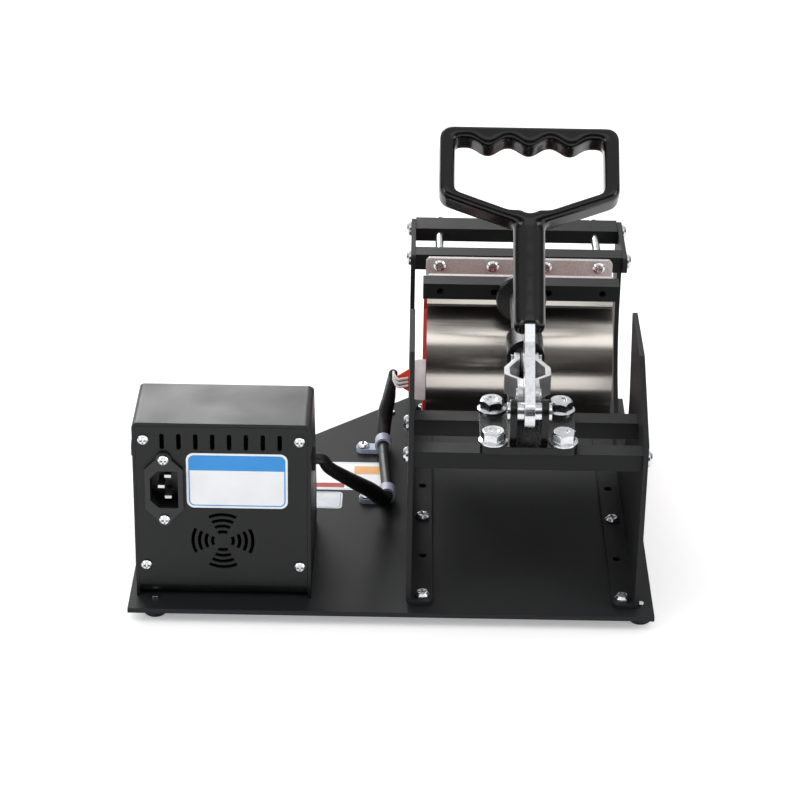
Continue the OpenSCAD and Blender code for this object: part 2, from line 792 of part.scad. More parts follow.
module lever_pivot_pin() {
    color("#d4d6d9")
    translate([press_x, pivot.x, pivot.y]) {
        rod_x(-cheek_out, cheek_out, pin_d);
        for (s = [-1, 1])
            rod_x(s > 0 ? cheek_out : -cheek_out - pin_head_t, s > 0 ? cheek_out + pin_head_t : -cheek_out,
                  pin_head_d);
    }
}

// Spacer washers between the arm and the cheeks
module pivot_spacers() {
    color("#d4d6d9")
    translate([press_x, pivot.x, pivot.y])
        for (s = [-1, 1])
            difference() {
                rod_x(s > 0 ? arm_t / 2 + pin_washer_gap : -cheek_in,
                      s > 0 ? cheek_in : -arm_t / 2 - pin_washer_gap, pin_head_d);
                rod_x(-cheek_out, cheek_out, pin_d + 2 * thread);
            }
}

// Frame of the lever: its pivot at the origin and the lever upright
module at_lever() {
    translate([press_x, pivot.x, pivot.y]) rotate([-lever_lean, 0, 0]) children();
}

module lever_arm() {
    color("#cfd2d6")
    at_lever()
        difference() {
            across(-arm_t / 2, arm_t / 2)
                polygon(concat(
                    arc([0, 0], arm_root_r, 178,
                360 + touch([0, 0], crank_local, arm_root_r, arm_crank_r, -1), 20),
                    arc(crank_local, arm_crank_r, touch([0, 0], crank_local, arm_root_r, arm_crank_r, -1),
                        touch(crank_local, [0, arm_neck], arm_crank_r, arm_half_w, -1)),
                    [[arm_half_w, arm_neck + arm_half_w / 2], [arm_half_w, arm_end], [-arm_half_w, arm_end],
                     [-arm_half_w, arm_neck]]));
            rod_x(-arm_t, arm_t, pin_d + 2 * running);
            translate([0, crank_local.x, crank_local.y]) rod_x(-arm_t, arm_t, rivet_d + 2 * thread);
        }
}

// Half outlines of the grip from the middle of its top, round to the middle of its V.
// The outer and the inner one have as many points each, and pair up.
finger_xs = [for (i = [0 : 14]) finger_run * i / 14];
function finger_v(x) = lever_l - grip_bar_t - finger_depth * cos(360 * x / finger_pitch);
grip_outer_half = concat(
    [for (x = finger_xs) [x, lever_l]],
    corner([0, lever_l], [grip_w / 2, lever_l], [grip_w / 2, grip_corner_v], grip_corner_r),
    corner([grip_w / 2, lever_l], [grip_w / 2, grip_corner_v],
           [vee_foot, grip_corner_v - (grip_w / 2 - vee_foot) * tan(vee_angle)], grip_corner_r),
    [for (x = [vee_flat, vee_foot, vee_notch, vee_notch / 2, 0])
        [x, max(vee_root, grip_corner_v - (grip_w / 2 - x) * tan(vee_angle))]]);
hand_top = finger_v(finger_run);
vee_top = hand_corner_v - (hand_w / 2 - vee_flat) * tan(vee_angle);
grip_inner_half = concat(
    [for (x = finger_xs) [x, finger_v(x)]],
    corner([0, hand_top], [hand_w / 2, hand_top], [hand_w / 2, hand_corner_v], hand_corner_r),
    corner([hand_w / 2, lever_l], [hand_w / 2, hand_corner_v], [vee_flat, vee_top], hand_corner_r),
    [[vee_flat, vee_top], [vee_foot, vee_top], [vee_notch, vee_top],
     [vee_notch / 2, vee_top - vee_notch_d], [0, vee_top - vee_notch_d]]);

function mirrored(half) = [for (i = [len(half) - 2 : -1 : 1]) [-half[i].x, half[i].y]];

// Section of the grip between an outer and an inner point: a rectangle with round edges
function section(o, i) =
    let (w = norm(i - o), d = (i - o) / w, r = min(grip_edge_r, w / 2 - running))
    [for (c = [[r, grip_t / 2 - r, 90], [w - r, grip_t / 2 - r, 0],
               [w - r, r - grip_t / 2, -90], [r, r - grip_t / 2, -180]], k = [0 : 3])
        let (a = c[2] + 90 - 30 * k, s = c.x + r * cos(a), t = c.y + r * sin(a), p = o + d * s)
        [p.x, t, p.y]];

module grip() {
    outer = concat(grip_outer_half, mirrored(grip_outer_half));
    inner = concat(grip_inner_half, mirrored(grip_inner_half));
    n = len(outer);
    m = 16;
    pts = [for (i = [0 : n - 1]) each section(outer[i], inner[i])];
    faces = [for (i = [0 : n - 1], j = [0 : m - 1])
        let (a = i * m + j, b = i * m + (j + 1) % m, c = ((i + 1) % n) * m + j,
             d = ((i + 1) % n) * m + (j + 1) % m)
        each [[a, b, c], [b, d, c]]];
    polyhedron(points = pts, faces = faces, convexity = 8);
}

module lever_handle() {
    color("#161617")
    at_lever()
        difference() {
            union() {
                grip();
                translate([0, 0, tube_start])
                    cylinder(h = tube_chamfer, d1 = tube_d - 2 * tube_chamfer, d2 = tube_d);
                translate([0, 0, tube_start + tube_chamfer])
                    cylinder(h = vee_root + vee_notch - tube_start - tube_chamfer, d = tube_d);
            }
            translate([-arm_t / 2 - socket_gap, -arm_half_w - socket_gap, tube_start - over])
                cube([arm_t + 2 * socket_gap, 2 * (arm_half_w + socket_gap),
                arm_end - tube_start + over + socket_gap]);
        }
}

// Rivet through the lever's arm and the two links
module link_pin() {
    half = arm_t / 2 + link_gap + link_t;
    color("#d4d6d9")
    translate([press_x, crank.x, crank.y]) {
        rod_x(-half, half, rivet_d);
        for (s = [-1, 1])
            rod_x(s > 0 ? half : -half - rivet_head_t / 2, s > 0 ? half + rivet_head_t / 2 : -half,
                  rivet_head_d);
    }
}

// Plan of one link, on the +X side: a strip that bows out past the arm and in again
function link_plan(near, far, bow) = [
    [near, -link_end_r - over], [near, link_bow_y], [bow, link_bow_y + link_bow_run],
    [bow, link_bow_y + link_bow_run + link_flat],
    [far, link_l - link_bow_run], [far, link_l + link_end_r + over]];

module toggle_link(s) {
    in_x = arm_t / 2 + link_gap;
    inner = link_plan(in_x, link_tail, link_bow_in);
    outer = link_plan(in_x + link_t, link_tail + link_t, link_bow_in + link_t);
    steps = [for (i = [len(outer) - 1 : -1 : 0]) outer[i]];
    color("#d4d6d9")
    translate([press_x, crank.x, crank.y])
    rotate([dead_angle, 0, 0])
    difference() {
        intersection() {
            translate([0, 0, -link_half_h - over])
                linear_extrude(2 * (link_half_h + over))
                    polygon([for (p = concat(inner, steps)) [s * p.x, p.y]]);
            across(-bow_reach, bow_reach) polygon(strap([0, 0], [link_l, 0], link_half_h, link_end_r));
        }
        rod_x(-bow_reach, bow_reach, rivet_d + 2 * running);
        translate([0, link_l, 0]) rod_x(-bow_reach, bow_reach, rivet_d + 2 * thread);
    }
}

module toggle_link_left() { toggle_link(-1); }
module toggle_link_right() { toggle_link(1); }

// Rivet heads on the links, at the plunger's pivot
module link_rivets() {
    color("#d4d6d9")
    translate([press_x, slide.x, slide.y])
        for (s = [-1, 1]) {
            face = link_tail + link_t;
            rod_x(s > 0 ? link_tail : -face, s > 0 ? face : -link_tail, rivet_d);
            rod_x(s > 0 ? face : -face - rivet_head_t, s > 0 ? face + rivet_head_t : -face, rivet_head_d);
        }
}

// Plunger: a round rod with a flat tongue that carries the links' pivot
module plunger() {
    color("#d4d6d9")
    translate([press_x, slide.x, plunger_z]) {
        difference() {
            union() {
                across(-tongue_t / 2, tongue_t / 2) {
                    circle(tongue_r);
                    translate([0, -tongue_r]) square([round_start + over, 2 * tongue_r]);
                }
                translate([0, round_start, 0])
                    rotate([-90, 0, 0])
            cylinder(h = moving_bar_y - disc_t - slide.x - round_start, d = rod_d);
            }
            rod_x(-tongue_t, tongue_t, rivet_d + 2 * running);
        }
    }
}

module pressure_disc() {
    color("#1a1a1b")
    translate([press_x, moving_bar_y - disc_t, plunger_z]) rotate([-90, 0, 0]) {
        cylinder(h = disc_chamfer, d1 = disc_d - 2 * disc_chamfer, d2 = disc_d);
        translate([0, 0, disc_chamfer]) cylinder(h = disc_t - disc_chamfer, d = disc_d);
    }
}

module moving_band_bar() {
    color("#26272a")
    difference() {
        translate([press_x - moving_l / 2, moving_bar_y, deck + band_top - bar_h])
            cube([moving_l, bar_d, bar_h]);
        for (x = strip_screw_xs)
            translate([press_x + x, moving_bar_y - over, deck + screw_z])
                rotate([-90, 0, 0]) cylinder(h = bar_d + 2 * over, d = strip_screw_d + 2 * thread);
    }
}

// Clamping strip with bevelled ends; its -Y face lies at y
module band_strip(y) {
    top = deck + band_top - strip_drop;
    color("#b9bcc0")
    difference() {
        translate([press_x, y + strip_t, top - strip_h])
            rotate([90, 0, 0]) linear_extrude(strip_t) polygon([
                [-strip_l / 2, 0], [strip_l / 2, 0], [strip_l / 2, strip_h - strip_chamfer],
                [strip_l / 2 - strip_chamfer, strip_h], [strip_chamfer - strip_l / 2, strip_h],
                [-strip_l / 2, strip_h - strip_chamfer]]);
        for (x = strip_screw_xs)
            translate([press_x + x, y - over, deck + screw_z])
                rotate([-90, 0, 0]) cylinder(h = strip_t + 2 * over, d = strip_screw_d + 2 * thread);
    }
}

module moving_band_strip() { band_strip(band_mid - handle_gap / 2 - strip_t); }
module fixed_band_strip() { band_strip(band_mid + handle_gap / 2); }

module strip_screws(side) {
    color("#c9ccd0")
    for (x = strip_screw_xs)
        translate([press_x + x, band_mid + side * handle_gap / 2, deck + screw_z])
            rotate([side * 90, 0, 0])
                pan_screw(strip_head_d, strip_head_h, strip_screw_d, strip_t + jacket_t + bar_d * grip_share);
}

module moving_strip_screws() { strip_screws(-1); }
module fixed_strip_screws() { strip_screws(1); }

// Ring round the mug, open at its top; up is the height of the flanges beside the opening
module open_ring(r, t, up = 0) {
    difference() {
        union() {
            circle(r + t);
            if (up > 0) translate([-flange_half - t, 0]) square([2 * (flange_half + t), up]);
        }
        circle(r);
        translate([-flange_half, 0]) square([2 * flange_half, max(up, r + t) + over]);
    }
}

module band_jacket() {
    top = band_top - band_h - jacket_end;
    color("#b8b4ab")
    difference() {
        translate([0, band_mid, deck + band_h])
            across(press_x - jacket_l / 2, press_x + jacket_l / 2) open_ring(jacket_r, jacket_t, top);
        for (x = strip_screw_xs)
            translate([press_x + x, band_mid - bar_half - over, deck + screw_z])
                rotate([-90, 0, 0]) cylinder(h = 2 * (bar_half + over), d = strip_screw_d + 2 * thread);
    }
}

module heater_mat() {
    color("#c8331d")
    translate([0, band_mid, deck + band_h])
        across(press_x - mat_l / 2, press_x + mat_l / 2) open_ring(mug_r, mat_t);
}

// Connection tab of the heater mat, led out through the side plate's notch
module terminal_tab() {
    x = press_x - mat_l / 2;
    color("#e9d9d2")
    translate([0, band_mid, deck + band_h])
        intersection() {
            across(x - tab_l, x)
                intersection() {
                    difference() {
                        circle(mug_r + mat_t);
                        circle(mug_r + mat_t - tab_t);
                    }
                    polygon([[0, 0], 2 * mug_r * [-cos(tab_angle), -sin(tab_angle)],
                             2 * mug_r * [-cos(tab_angle), sin(tab_angle)]]);
                }
            rotate([90, 0, 0]) linear_extrude(2 * mug_r) polygon([
                [x + over, -mug_r], [x + over, mug_r], [x - tab_wide_l, mug_r],
                [x - tab_wide_l, tab_neck_half], [x - tab_l, tab_tip_half],
                [x - tab_l, -tab_tip_half], [x - tab_wide_l, -tab_neck_half], [x - tab_wide_l, -mug_r]]);
        }
}

module heater_wires() {
    last = len(cable_points) - 1;
    out = unit(flat(cable_points[last]) - flat(cable_points[last - 1]));
    start = flat(cable_points[last]) + wire_gap * out;
    tip = tab_tip - [wire_gap, 0, 0];
    spread = wire_d + 2 * wire_gap;
    color("#d8d4cf")
    for (k = [-1, 0, 1]) {
        r = mug_r + mat_t - tab_t / 2;
        end = tip + [0, -sqrt(r * r - pow(k * spread, 2)), -k * spread];
        side = k * (wire_d + wire_gap) * unit(cross([1, 0, 0], out));
        tube([for (p = curve([start + side, start + side + wire_lead * (1 - lead_share * k) * out,
                              end - [wire_lead, 0, 0], end], 4)) concat(p, [wire_d / 2])], 8);
    }
}

module heater_cable() {
    color("#1d1d1e") tube(curve(cable_points, 2), 10);
}

// P-clips: a ring round the cable and a tab screwed to the base plate
module cable_clips() {
    r = cable_d / 2 + clip_play;
    color("#cfd4dc")
    for (p = clip_places)
        translate([p.x, p.y - clip_w / 2, 0])
            difference() {
                union() {
                    rotate([90, 0, 0]) mirror([0, 0, 1]) linear_extrude(clip_w)
                        difference() {
                            translate([0, p.z]) circle(r + clip_t);
                            translate([-2 * r, deck - 2 * r]) square([4 * r, 2 * r]);
                        }
                    translate([clip_w / 2 - clip_tab, 0, deck])
                cube([clip_tab - clip_w / 2, clip_w, 2 * clip_t]);
                    translate([clip_w / 2 - clip_tab, clip_w / 2, deck]) cylinder(h = 2 * clip_t, d = clip_w);
                }
                translate([0, -over, p.z]) rotate([-90, 0, 0]) cylinder(h = clip_w + 2 * over, r = r);
                translate([clip_hole_in - clip_tab, clip_w / 2, deck - over])
                    cylinder(h = 2 * clip_t + 2 * over, d = clip_screw_d + 2 * thread);
            }
}

module clip_screws() {
    color("#c9ccd0")
    for (p = clip_places)
        translate([p.x - clip_tab + clip_hole_in, p.y, deck + 2 * clip_t])
            pan_screw(clip_head_d, clip_head_h, clip_screw_d, 2 * clip_t + base_t);
}

// Frame of the control box: its lower -X, -Y corner at the origin
module at_box() { translate([box_x, box_y, deck]) children(); }

// Frame on the slanted panel: x across, y up the slope, z out of the panel
module at_slant() {
    at_box()
        translate([box_w / 2, (box_top_d + box_foot_d) / 2, (box_h + box_lip_h) / 2])
            rotate([90 - slant, 0, 180]) children();
}

module box_profile(inset) {
    // Outline of the box seen from the side, moved inward by inset
    k = inset * (1 - sin(slant)) / cos(slant);
    m = inset * tan(slant / 2);
    polygon([
        [0, inset], [box_foot_d - inset, inset], [box_foot_d - inset, box_lip_h - m],
        [box_top_d - k, box_h - inset], [0, box_h - inset]]);
}

// Face of the box seen from behind, with its two upper corners round, extruded over the box's depth
module box_face(inset) {
    rotate([90, 0, 0]) mirror([0, 0, 1]) translate([0, 0, -over]) linear_extrude(box_foot_d + 2 * over)
        polygon(outline([
            [inset, -over, 0], [box_w - inset, -over, 0],
            [box_w - inset, box_h - inset, box_bend_r - inset], [inset, box_h - inset, box_bend_r - inset]]));
}

module bezel_hole() { round_rect(bezel_w - 4 * bezel_t, bezel_l - 4 * bezel_t, bezel_corner); }

// Sheet cover: sides, top and slanted front, with two returns that the rear panel is screwed to
module box_shell() {
    color("#232427")
    difference() {
        union() {
            difference() {
                at_box() intersection() {
                    across(0, box_w) box_profile(0);
                    box_face(0);
                }
                at_box() intersection() {
                    across(sheet_t, box_w - sheet_t) box_profile(sheet_t);
                    box_face(sheet_t);
                }
                at_box() intersection() {
                    translate([0, -over, 0]) cube([box_w, sheet_t + 2 * over, box_h]);
                    box_face(sheet_t);
                }
                at_box() translate([sheet_t, -over, -over])
                    cube([box_w - 2 * sheet_t, box_foot_d - sheet_t + over, sheet_t + 2 * over]);
            }
            at_box()
                for (x = [sheet_t, box_w - sheet_t - return_w])
                    translate([x, sheet_t, sheet_t + floor_bend_r])
                        cube([return_w, sheet_t, box_h - box_bend_r - sheet_t - floor_bend_r]);
        }
        at_slant() translate([0, 0, -2 * sheet_t]) linear_extrude(4 * sheet_t) bezel_hole();
        at_box() {
            for (x = [panel_screw_in, box_w - panel_screw_in], z = panel_screw_zs)
                translate([x, 0, z]) rotate([-90, 0, 0])
                cylinder(h = 3 * sheet_t, d = panel_screw_d + 2 * thread);
            translate([0, fuse_at.x, fuse_at.y]) rod_x(-over, 2 * sheet_t, fuse_d + 2 * thread);
            translate([-over, rocker_at.x - rocker_w / 2, rocker_at.y - rocker_h / 2])
                cube([2 * sheet_t + over, rocker_w, rocker_h]);
            translate([0, cable_at.x, cable_at.y])
                rod_x(box_w - 2 * sheet_t, box_w + over, grommet_d + 2 * thread);
            translate([inlet_at.x, 3 * sheet_t, inlet_at.y])
                rotate([90, 0, 0]) linear_extrude(2 * sheet_t)
                    square([inlet_w + 2 * (inlet_rim + clip_gap), inlet_hole_h + 2 * (inlet_rim + clip_gap)],
                           center = true);
        }
    }
}

// Outline of the inlet's opening: a rectangle with two corners cut
module inlet_outline(w, h) {
    translate([-w / 2, -h / 2]) polygon([
        [inlet_corner, 0], [w, 0], [w, h], [inlet_corner, h], [0, h - inlet_corner], [0, inlet_corner]]);
}

// Ring sector between two radii, half angle each side of the +X axis
module arc_slot(r, w, half) {
    difference() {
        intersection() {
            circle(r + w / 2);
            polygon([[0, 0], 2 * r * [cos(half), -sin(half)], 2 * r * [cos(half), sin(half)]]);
        }
        circle(r - w / 2);
    }
}

// Rear panel: the vents, grille and inlet are cut through it, and it bends under as the floor
module box_rear_panel() {
    side = sheet_t + thread;
    w = box_w - 2 * side;
    depth = box_foot_d - sheet_t - thread;
    color("#232427")
    at_box()
    difference() {
        intersection() {
            box_face(side);
            across(side, side + w) polygon(outline([
                [0, 0, floor_bend_r], [depth, 0, 0], [depth, sheet_t, 0],
                [sheet_t, sheet_t, floor_bend_r - sheet_t],
                [sheet_t, box_h - side, 0], [0, box_h - side, 0]]));
        }
        for (x = slot_xs)
            translate([x, 2 * sheet_t, slot_z])
                rotate([90, 0, 0]) linear_extrude(4 * sheet_t) {
                    square([slot_w, slot_l - slot_w], center = true);
                    for (s = [-1, 1]) translate([0, s * (slot_l - slot_w) / 2]) circle(d = slot_w);
                }
        translate([grille_at.x, 2 * sheet_t, grille_at.y])
            rotate([90, 0, 0]) linear_extrude(4 * sheet_t)
                for (turn = [0 : 90 : 270], r = grille_rs)
                    rotate(turn) arc_slot(r, grille_w, grille_half);
        translate([inlet_at.x, 2 * sheet_t, inlet_at.y])
            rotate([90, 0, 0]) linear_extrude(4 * sheet_t)
                inlet_outline(inlet_w + 2 * inlet_rim + 2 * inlet_side_gap,
                              inlet_hole_h + 2 * inlet_rim + 2 * inlet_side_gap);
        for (s = [-1, 1])
            translate([inlet_at.x, -over, inlet_at.y + s * inlet_screw_up])
                rotate([-90, 0, 0]) cylinder(h = sheet_t + 2 * over, d = panel_screw_d + 2 * thread);
        for (x = [panel_screw_in, box_w - panel_screw_in], z = panel_screw_zs)
            translate([x, -over, z]) rotate([-90, 0, 0])
                cylinder(h = sheet_t + 2 * over, d = panel_screw_d + 2 * thread);
    }
}

module panel_screws() {
    color("#c9ccd0")
    at_box()
    for (x = [panel_screw_in, box_w - panel_screw_in], z = panel_screw_zs)
        translate([x, 0, z]) rotate([90, 0, 0])
            pan_screw(panel_head_d, panel_head_h, panel_screw_d, 3 * sheet_t);
}

// Power inlet: a diamond flange on the panel and a socket that reaches into the box
module inlet_body() {
    ear_r = 4.5;
    socket_w = inlet_w + 2 * inlet_rim;
    socket_h = inlet_hole_h + 2 * inlet_rim;
    color("#0f0f10")
    at_box()
    translate([inlet_at.x, 0, inlet_at.y])
    difference() {
        rotate([90, 0, 0]) {
            linear_extrude(inlet_front_t)
                intersection() {
                    union() {
                        for (s = [-1, 1]) translate([0, s * inlet_screw_up]) circle(ear_r);
                        polygon([
                            [ear_r, inlet_screw_up], [socket_w / 2 + over, socket_h / 2 - over],
                            [socket_w / 2 + over, over - socket_h / 2], [ear_r, -inlet_screw_up],
                            [-ear_r, -inlet_screw_up], [-socket_w / 2 - over, over - socket_h / 2],
                            [-socket_w / 2 - over, socket_h / 2 - over], [-ear_r, inlet_screw_up]]);
                        square([socket_w, socket_h], center = true);
                    }
                    square([socket_w + 2 * over, 2 * (inlet_screw_up + ear_r)], center = true);
                }
            translate([0, 0, -inlet_depth]) linear_extrude(inlet_depth) inlet_outline(socket_w, socket_h);
        }
        rotate([90, 0, 0]) translate([0, 0, inlet_rim - inlet_depth])
            linear_extrude(inlet_depth + inlet_front_t) inlet_outline(inlet_w, inlet_hole_h);
        for (s = [-1, 1])
            translate([0, over, s * inlet_screw_up]) rotate([90, 0, 0])
                cylinder(h = inlet_front_t + 2 * over, d = panel_screw_d + 2 * thread);
    }
}

module inlet_pins() {
    pin_l = 11;
    color("#d9dbdd")
    at_box()
    for (p = pin_places)
        translate([inlet_at.x + p.x - pin_w / 2, inlet_depth - inlet_rim - pin_l,
                inlet_at.y + p.y - pin_t / 2])
            cube([pin_w, pin_l, pin_t]);
}

module inlet_screws() {
    color("#c9ccd0")
    at_box()
    for (s = [-1, 1])
        translate([inlet_at.x, -inlet_front_t, inlet_at.y + s * inlet_screw_up]) rotate([90, 0, 0])
            pan_screw(panel_head_d, panel_head_h, panel_screw_d, inlet_front_t + 3 * sheet_t);
}

// Fuse holder through the side of the box, and its screw cap
module fuse_holder() {
    body_l = 26;
    collar = 2;
    color("#161617")
    at_box() translate([0, fuse_at.x, fuse_at.y])
        difference() {
            union() {
                rod_x(0, body_l, fuse_d);
                rod_x(-over, 0, fuse_d + collar);
                rod_x(sheet_t, sheet_t + collar, fuse_d + 2 * collar);
            }
            rod_x(-2 * over, body_l - collar, fuse_d - 2 * collar);
        }
}

module fuse_cap() {
    fuse_l = 20;
    plug_d = 7.6;
    cap_d = 11;
    rib = 0.8;
    color("#1b1b1c")
    at_box() translate([0, fuse_at.x, fuse_at.y])
        difference() {
            union() {
                rod_x(-over - fuse_out, -over, cap_d);
                rod_x(-over, fuse_l, plug_d);
            }
            for (a = [0 : 30 : 330])
                rotate([a, 0, 0]) translate([-over - fuse_out, cap_d / 2 - rib / 2, -rib / 2])
                    cube([fuse_out, rib, rib]);
            translate([-over - fuse_out, -cap_d / 2, -rib / 2]) cube([over + rib, cap_d, rib]);
        }
}

module rocker_bezel() {
    body_l = 14;
    w = rocker_w - 2 * thread;
    h = rocker_h - 2 * thread;
    color("#161617")
    at_box() translate([0, rocker_at.x, rocker_at.y])
        difference() {
            union() {
                translate([-rocker_out, -w / 2 - rocker_frame / 2, -h / 2 - rocker_frame / 2])
                    cube([rocker_out, w + rocker_frame, h + rocker_frame]);
                translate([0, -w / 2, -h / 2]) cube([body_l, w, h]);
            }
            translate([-rocker_out - over, -w / 2 + rocker_wall, -h / 2 + rocker_wall])
                cube([body_l - over, w - 2 * rocker_wall, h - 2 * rocker_wall]);
            translate([rocker_axis_x, -w / 2 - over, 0])
                rotate([-90, 0, 0]) cylinder(h = w + 2 * over, d = rocker_pin_d + 2 * running);
        }
}

// Rocker: it tips about an axis along Y, on two short pins
module rocker_switch() {
    w = rocker_w - 2 * (thread + rocker_wall + rocker_gap);
    h = rocker_h - 2 * (thread + rocker_wall + rocker_gap);
    reach = w / 2 + rocker_gap + rocker_pin_l;
    face = rocker_axis_x + rocker_out;
    low_share = 0.34;
    end_share = 0.45;
    middle_share = 0.8;
    color("#c4161c")
    at_box() translate([rocker_axis_x, rocker_at.x, rocker_at.y]) rotate([90, 0, 0]) {
        translate([0, 0, -w / 2]) rotate([0, 0, rocker_tip])
            linear_extrude(w) polygon([
                [rocker_pin_d, -h * low_share], [rocker_pin_d, h * low_share], [-face, h * end_share],
                [-face * middle_share, 0], [-face, -h * end_share]]);
        translate([0, 0, -reach]) cylinder(h = 2 * reach, d = rocker_pin_d);
    }
}

// Controller: a bezel on the slanted panel, with its housing and the board's posts behind
module controller_bezel() {
    housing = 2;
    post_d = 4;
    post_in = 3.5;
    w = bezel_w - 4 * bezel_t - 2 * thread;
    l = bezel_l - 4 * bezel_t - 2 * thread;
    color("#1a1b1d")
    at_slant()
    difference() {
        union() {
            linear_extrude(bezel_t) round_rect(bezel_w, bezel_l, bezel_corner);
            translate([0, 0, -module_t]) linear_extrude(module_t) round_rect(w, l, bezel_corner);
        }
        translate([0, 0, -module_t - over]) linear_extrude(module_t + over)
            round_rect(w - 2 * housing, l - 2 * housing, bezel_corner - housing);
        translate([0, window_up, bezel_t - window_t]) linear_extrude(window_t + over)
            round_rect(window_w, window_l, 2 * thread + over);
        translate([0, window_up, -over]) linear_extrude(bezel_t + over)
            square([window_w - 4 * over, window_l - 4 * over], center = true);
        for (i = [-1 : 1])
            translate([i * button_pitch, -button_down, -over])
                cylinder(h = bezel_t + 2 * over, d = button_d + 2 * button_gap);
    }
    color("#1a1b1d")
    at_slant()
        for (x = [-1, 1], y = [-1, 1])
            translate([x * (board_w / 2 - post_in), y * (board_l / 2 - post_in), board_top])
                cylinder(h = -board_top, d = post_d);
}

module display_window() {
    color("#2a0d0d")
    at_slant() translate([0, window_up, bezel_t - window_t]) linear_extrude(window_t)
        round_rect(window_w - 2 * thread, window_l - 2 * thread, over);
}

// Push button: its flange rests behind the bezel
module push_button(i) {
    chamfer = 0.6;
    color("#d9d9d6")
    at_slant() translate([i * button_pitch, -button_down, 0]) {
        cylinder(h = bezel_t + button_out - chamfer, d = button_d);
        translate([0, 0, bezel_t + button_out - chamfer])
            cylinder(h = chamfer, d1 = button_d, d2 = button_d - 2 * chamfer);
        translate([0, 0, -button_flange]) cylinder(h = button_flange, d = button_d + 4 * button_gap + over);
    }
}

module power_button() { push_button(1); }
module plus_button() { push_button(0); }
module minus_button() { push_button(-1); }

// Control board behind the bezel, with its display and a switch under each button
module control_board() {
    display_t = 1.8;
    color("#1f6b3a")
    at_slant() {
        translate([-board_w / 2, -board_l / 2, board_top - board_t]) cube([board_w, board_l, board_t]);
        for (i = [-1 : 1])
            translate([i * button_pitch, -button_down, board_top]) cylinder(h = switch_t, d = button_d / 2);
        translate([-window_w / 2 + over, window_up - window_l / 2 + over, board_top])
            cube([window_w - 2 * over, window_l - 2 * over, display_t]);
    }
}

// Power board on the floor, with its relay, terminal block and capacitor
power_at = [30, 46];
power_w = 66;
power_d = 40;
post_h = 5;
module power_board() {
    z = sheet_t + post_h;
    post_d = 5;
    inset = 4;
    relay = [19, 15, 15];
    block = [10, 22, 11];
    cap_d = 10;
    cap_h = 16;
    color("#1f6b3a")
    at_box() translate([power_at.x, power_at.y, 0]) {
        translate([0, 0, z]) cube([power_w, power_d, board_t]);
        for (x = [inset, power_w - inset], y = [inset, power_d - inset])
            translate([x, y, sheet_t]) cylinder(h = post_h, d = post_d);
        translate([power_w - relay.x - inset, inset, z + board_t]) cube(relay);
        translate([power_w - block.x, power_d - block.y, z + board_t]) cube(block);
        translate([power_w / 2, power_d - cap_d, z + board_t]) cylinder(h = cap_h, d = cap_d);
    }
}

// Small mains transformer on the power board: core and winding
module transformer() {
    core = [22, 10, 18];
    coil = [15, 20, 12];
    z = sheet_t + post_h + board_t;
    color("#8f8f92")
    at_box() translate([power_at.x + coil.x / 2 + core.x / 4, power_at.y + coil.y / 2 + over, z]) {
        translate([-core.x / 2, -core.y / 2, 0]) cube(core);
        translate([-coil.x / 2, -coil.y / 2, (core.z - coil.z) / 2]) cube(coil);
    }
}

// Grommet where the heater cable leaves the box
module cable_grommet() {
    lip = 1.5;
    color("#161617")
    at_box() translate([box_w, cable_at.x, cable_at.y])
        difference() {
            union() {
                rod_x(-sheet_t, 0, grommet_d);
                rod_x(0, lip, grommet_d + 2 * lip);
                rod_x(-sheet_t - lip, -sheet_t, grommet_d + 2 * lip);
            }
            rod_x(-2 * sheet_t, 2 * lip, cable_d + 2 * clip_gap);
        }
}

base_plate();
rubber_feet();
foot_screws();
side_plate(-1);  // side_plate_left
side_plate(1);  // side_plate_right
side_plate_screws();
cross_bar_near();
cross_bar_far();
cross_bar_screws();
adjuster_bar();
fixed_band_bar();
adjuster_screws();
clamp_base();
clamp_bolts();
lever_pivot_pin();
pivot_spacers();
lever_arm();
lever_handle();
link_pin();
toggle_link_left();
toggle_link_right();
link_rivets();
plunger();
pressure_disc();
moving_band_bar();
moving_band_strip();
moving_strip_screws();
fixed_band_strip();
fixed_strip_screws();
band_jacket();
heater_mat();
terminal_tab();
heater_wires();
heater_cable();
cable_clips();
clip_screws();
cable_grommet();
box_shell();
box_rear_panel();
panel_screws();
inlet_body();
inlet_pins();
inlet_screws();
fuse_holder();
fuse_cap();
rocker_bezel();
rocker_switch();
controller_bezel();
display_window();
power_button();
plus_button();
minus_button();
control_board();
power_board();
transformer();
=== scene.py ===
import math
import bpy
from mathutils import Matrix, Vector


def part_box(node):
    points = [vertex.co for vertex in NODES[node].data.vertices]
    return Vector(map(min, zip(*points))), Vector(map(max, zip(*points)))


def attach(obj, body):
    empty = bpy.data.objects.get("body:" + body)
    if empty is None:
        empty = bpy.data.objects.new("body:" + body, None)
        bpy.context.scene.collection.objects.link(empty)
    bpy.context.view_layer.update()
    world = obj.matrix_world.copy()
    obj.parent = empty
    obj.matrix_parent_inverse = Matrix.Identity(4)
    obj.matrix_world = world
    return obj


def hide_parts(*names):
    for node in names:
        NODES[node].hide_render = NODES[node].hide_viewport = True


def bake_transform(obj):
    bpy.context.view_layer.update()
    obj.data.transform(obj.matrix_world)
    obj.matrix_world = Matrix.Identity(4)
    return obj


bl_info = {
    "name": "Mug Press",
    "version": (1, 0, 0),
    "blender": (4, 5, 0),
    "location": "View3D > Sidebar > Mug Press",
    "description": "Dresses the packed mug heat press with its finishes, band, cable, labels and studio",
    "category": "Object",
}

import bmesh
import bpy
from bpy.props import FloatProperty, FloatVectorProperty, PointerProperty, StringProperty
from mathutils import Matrix, Vector

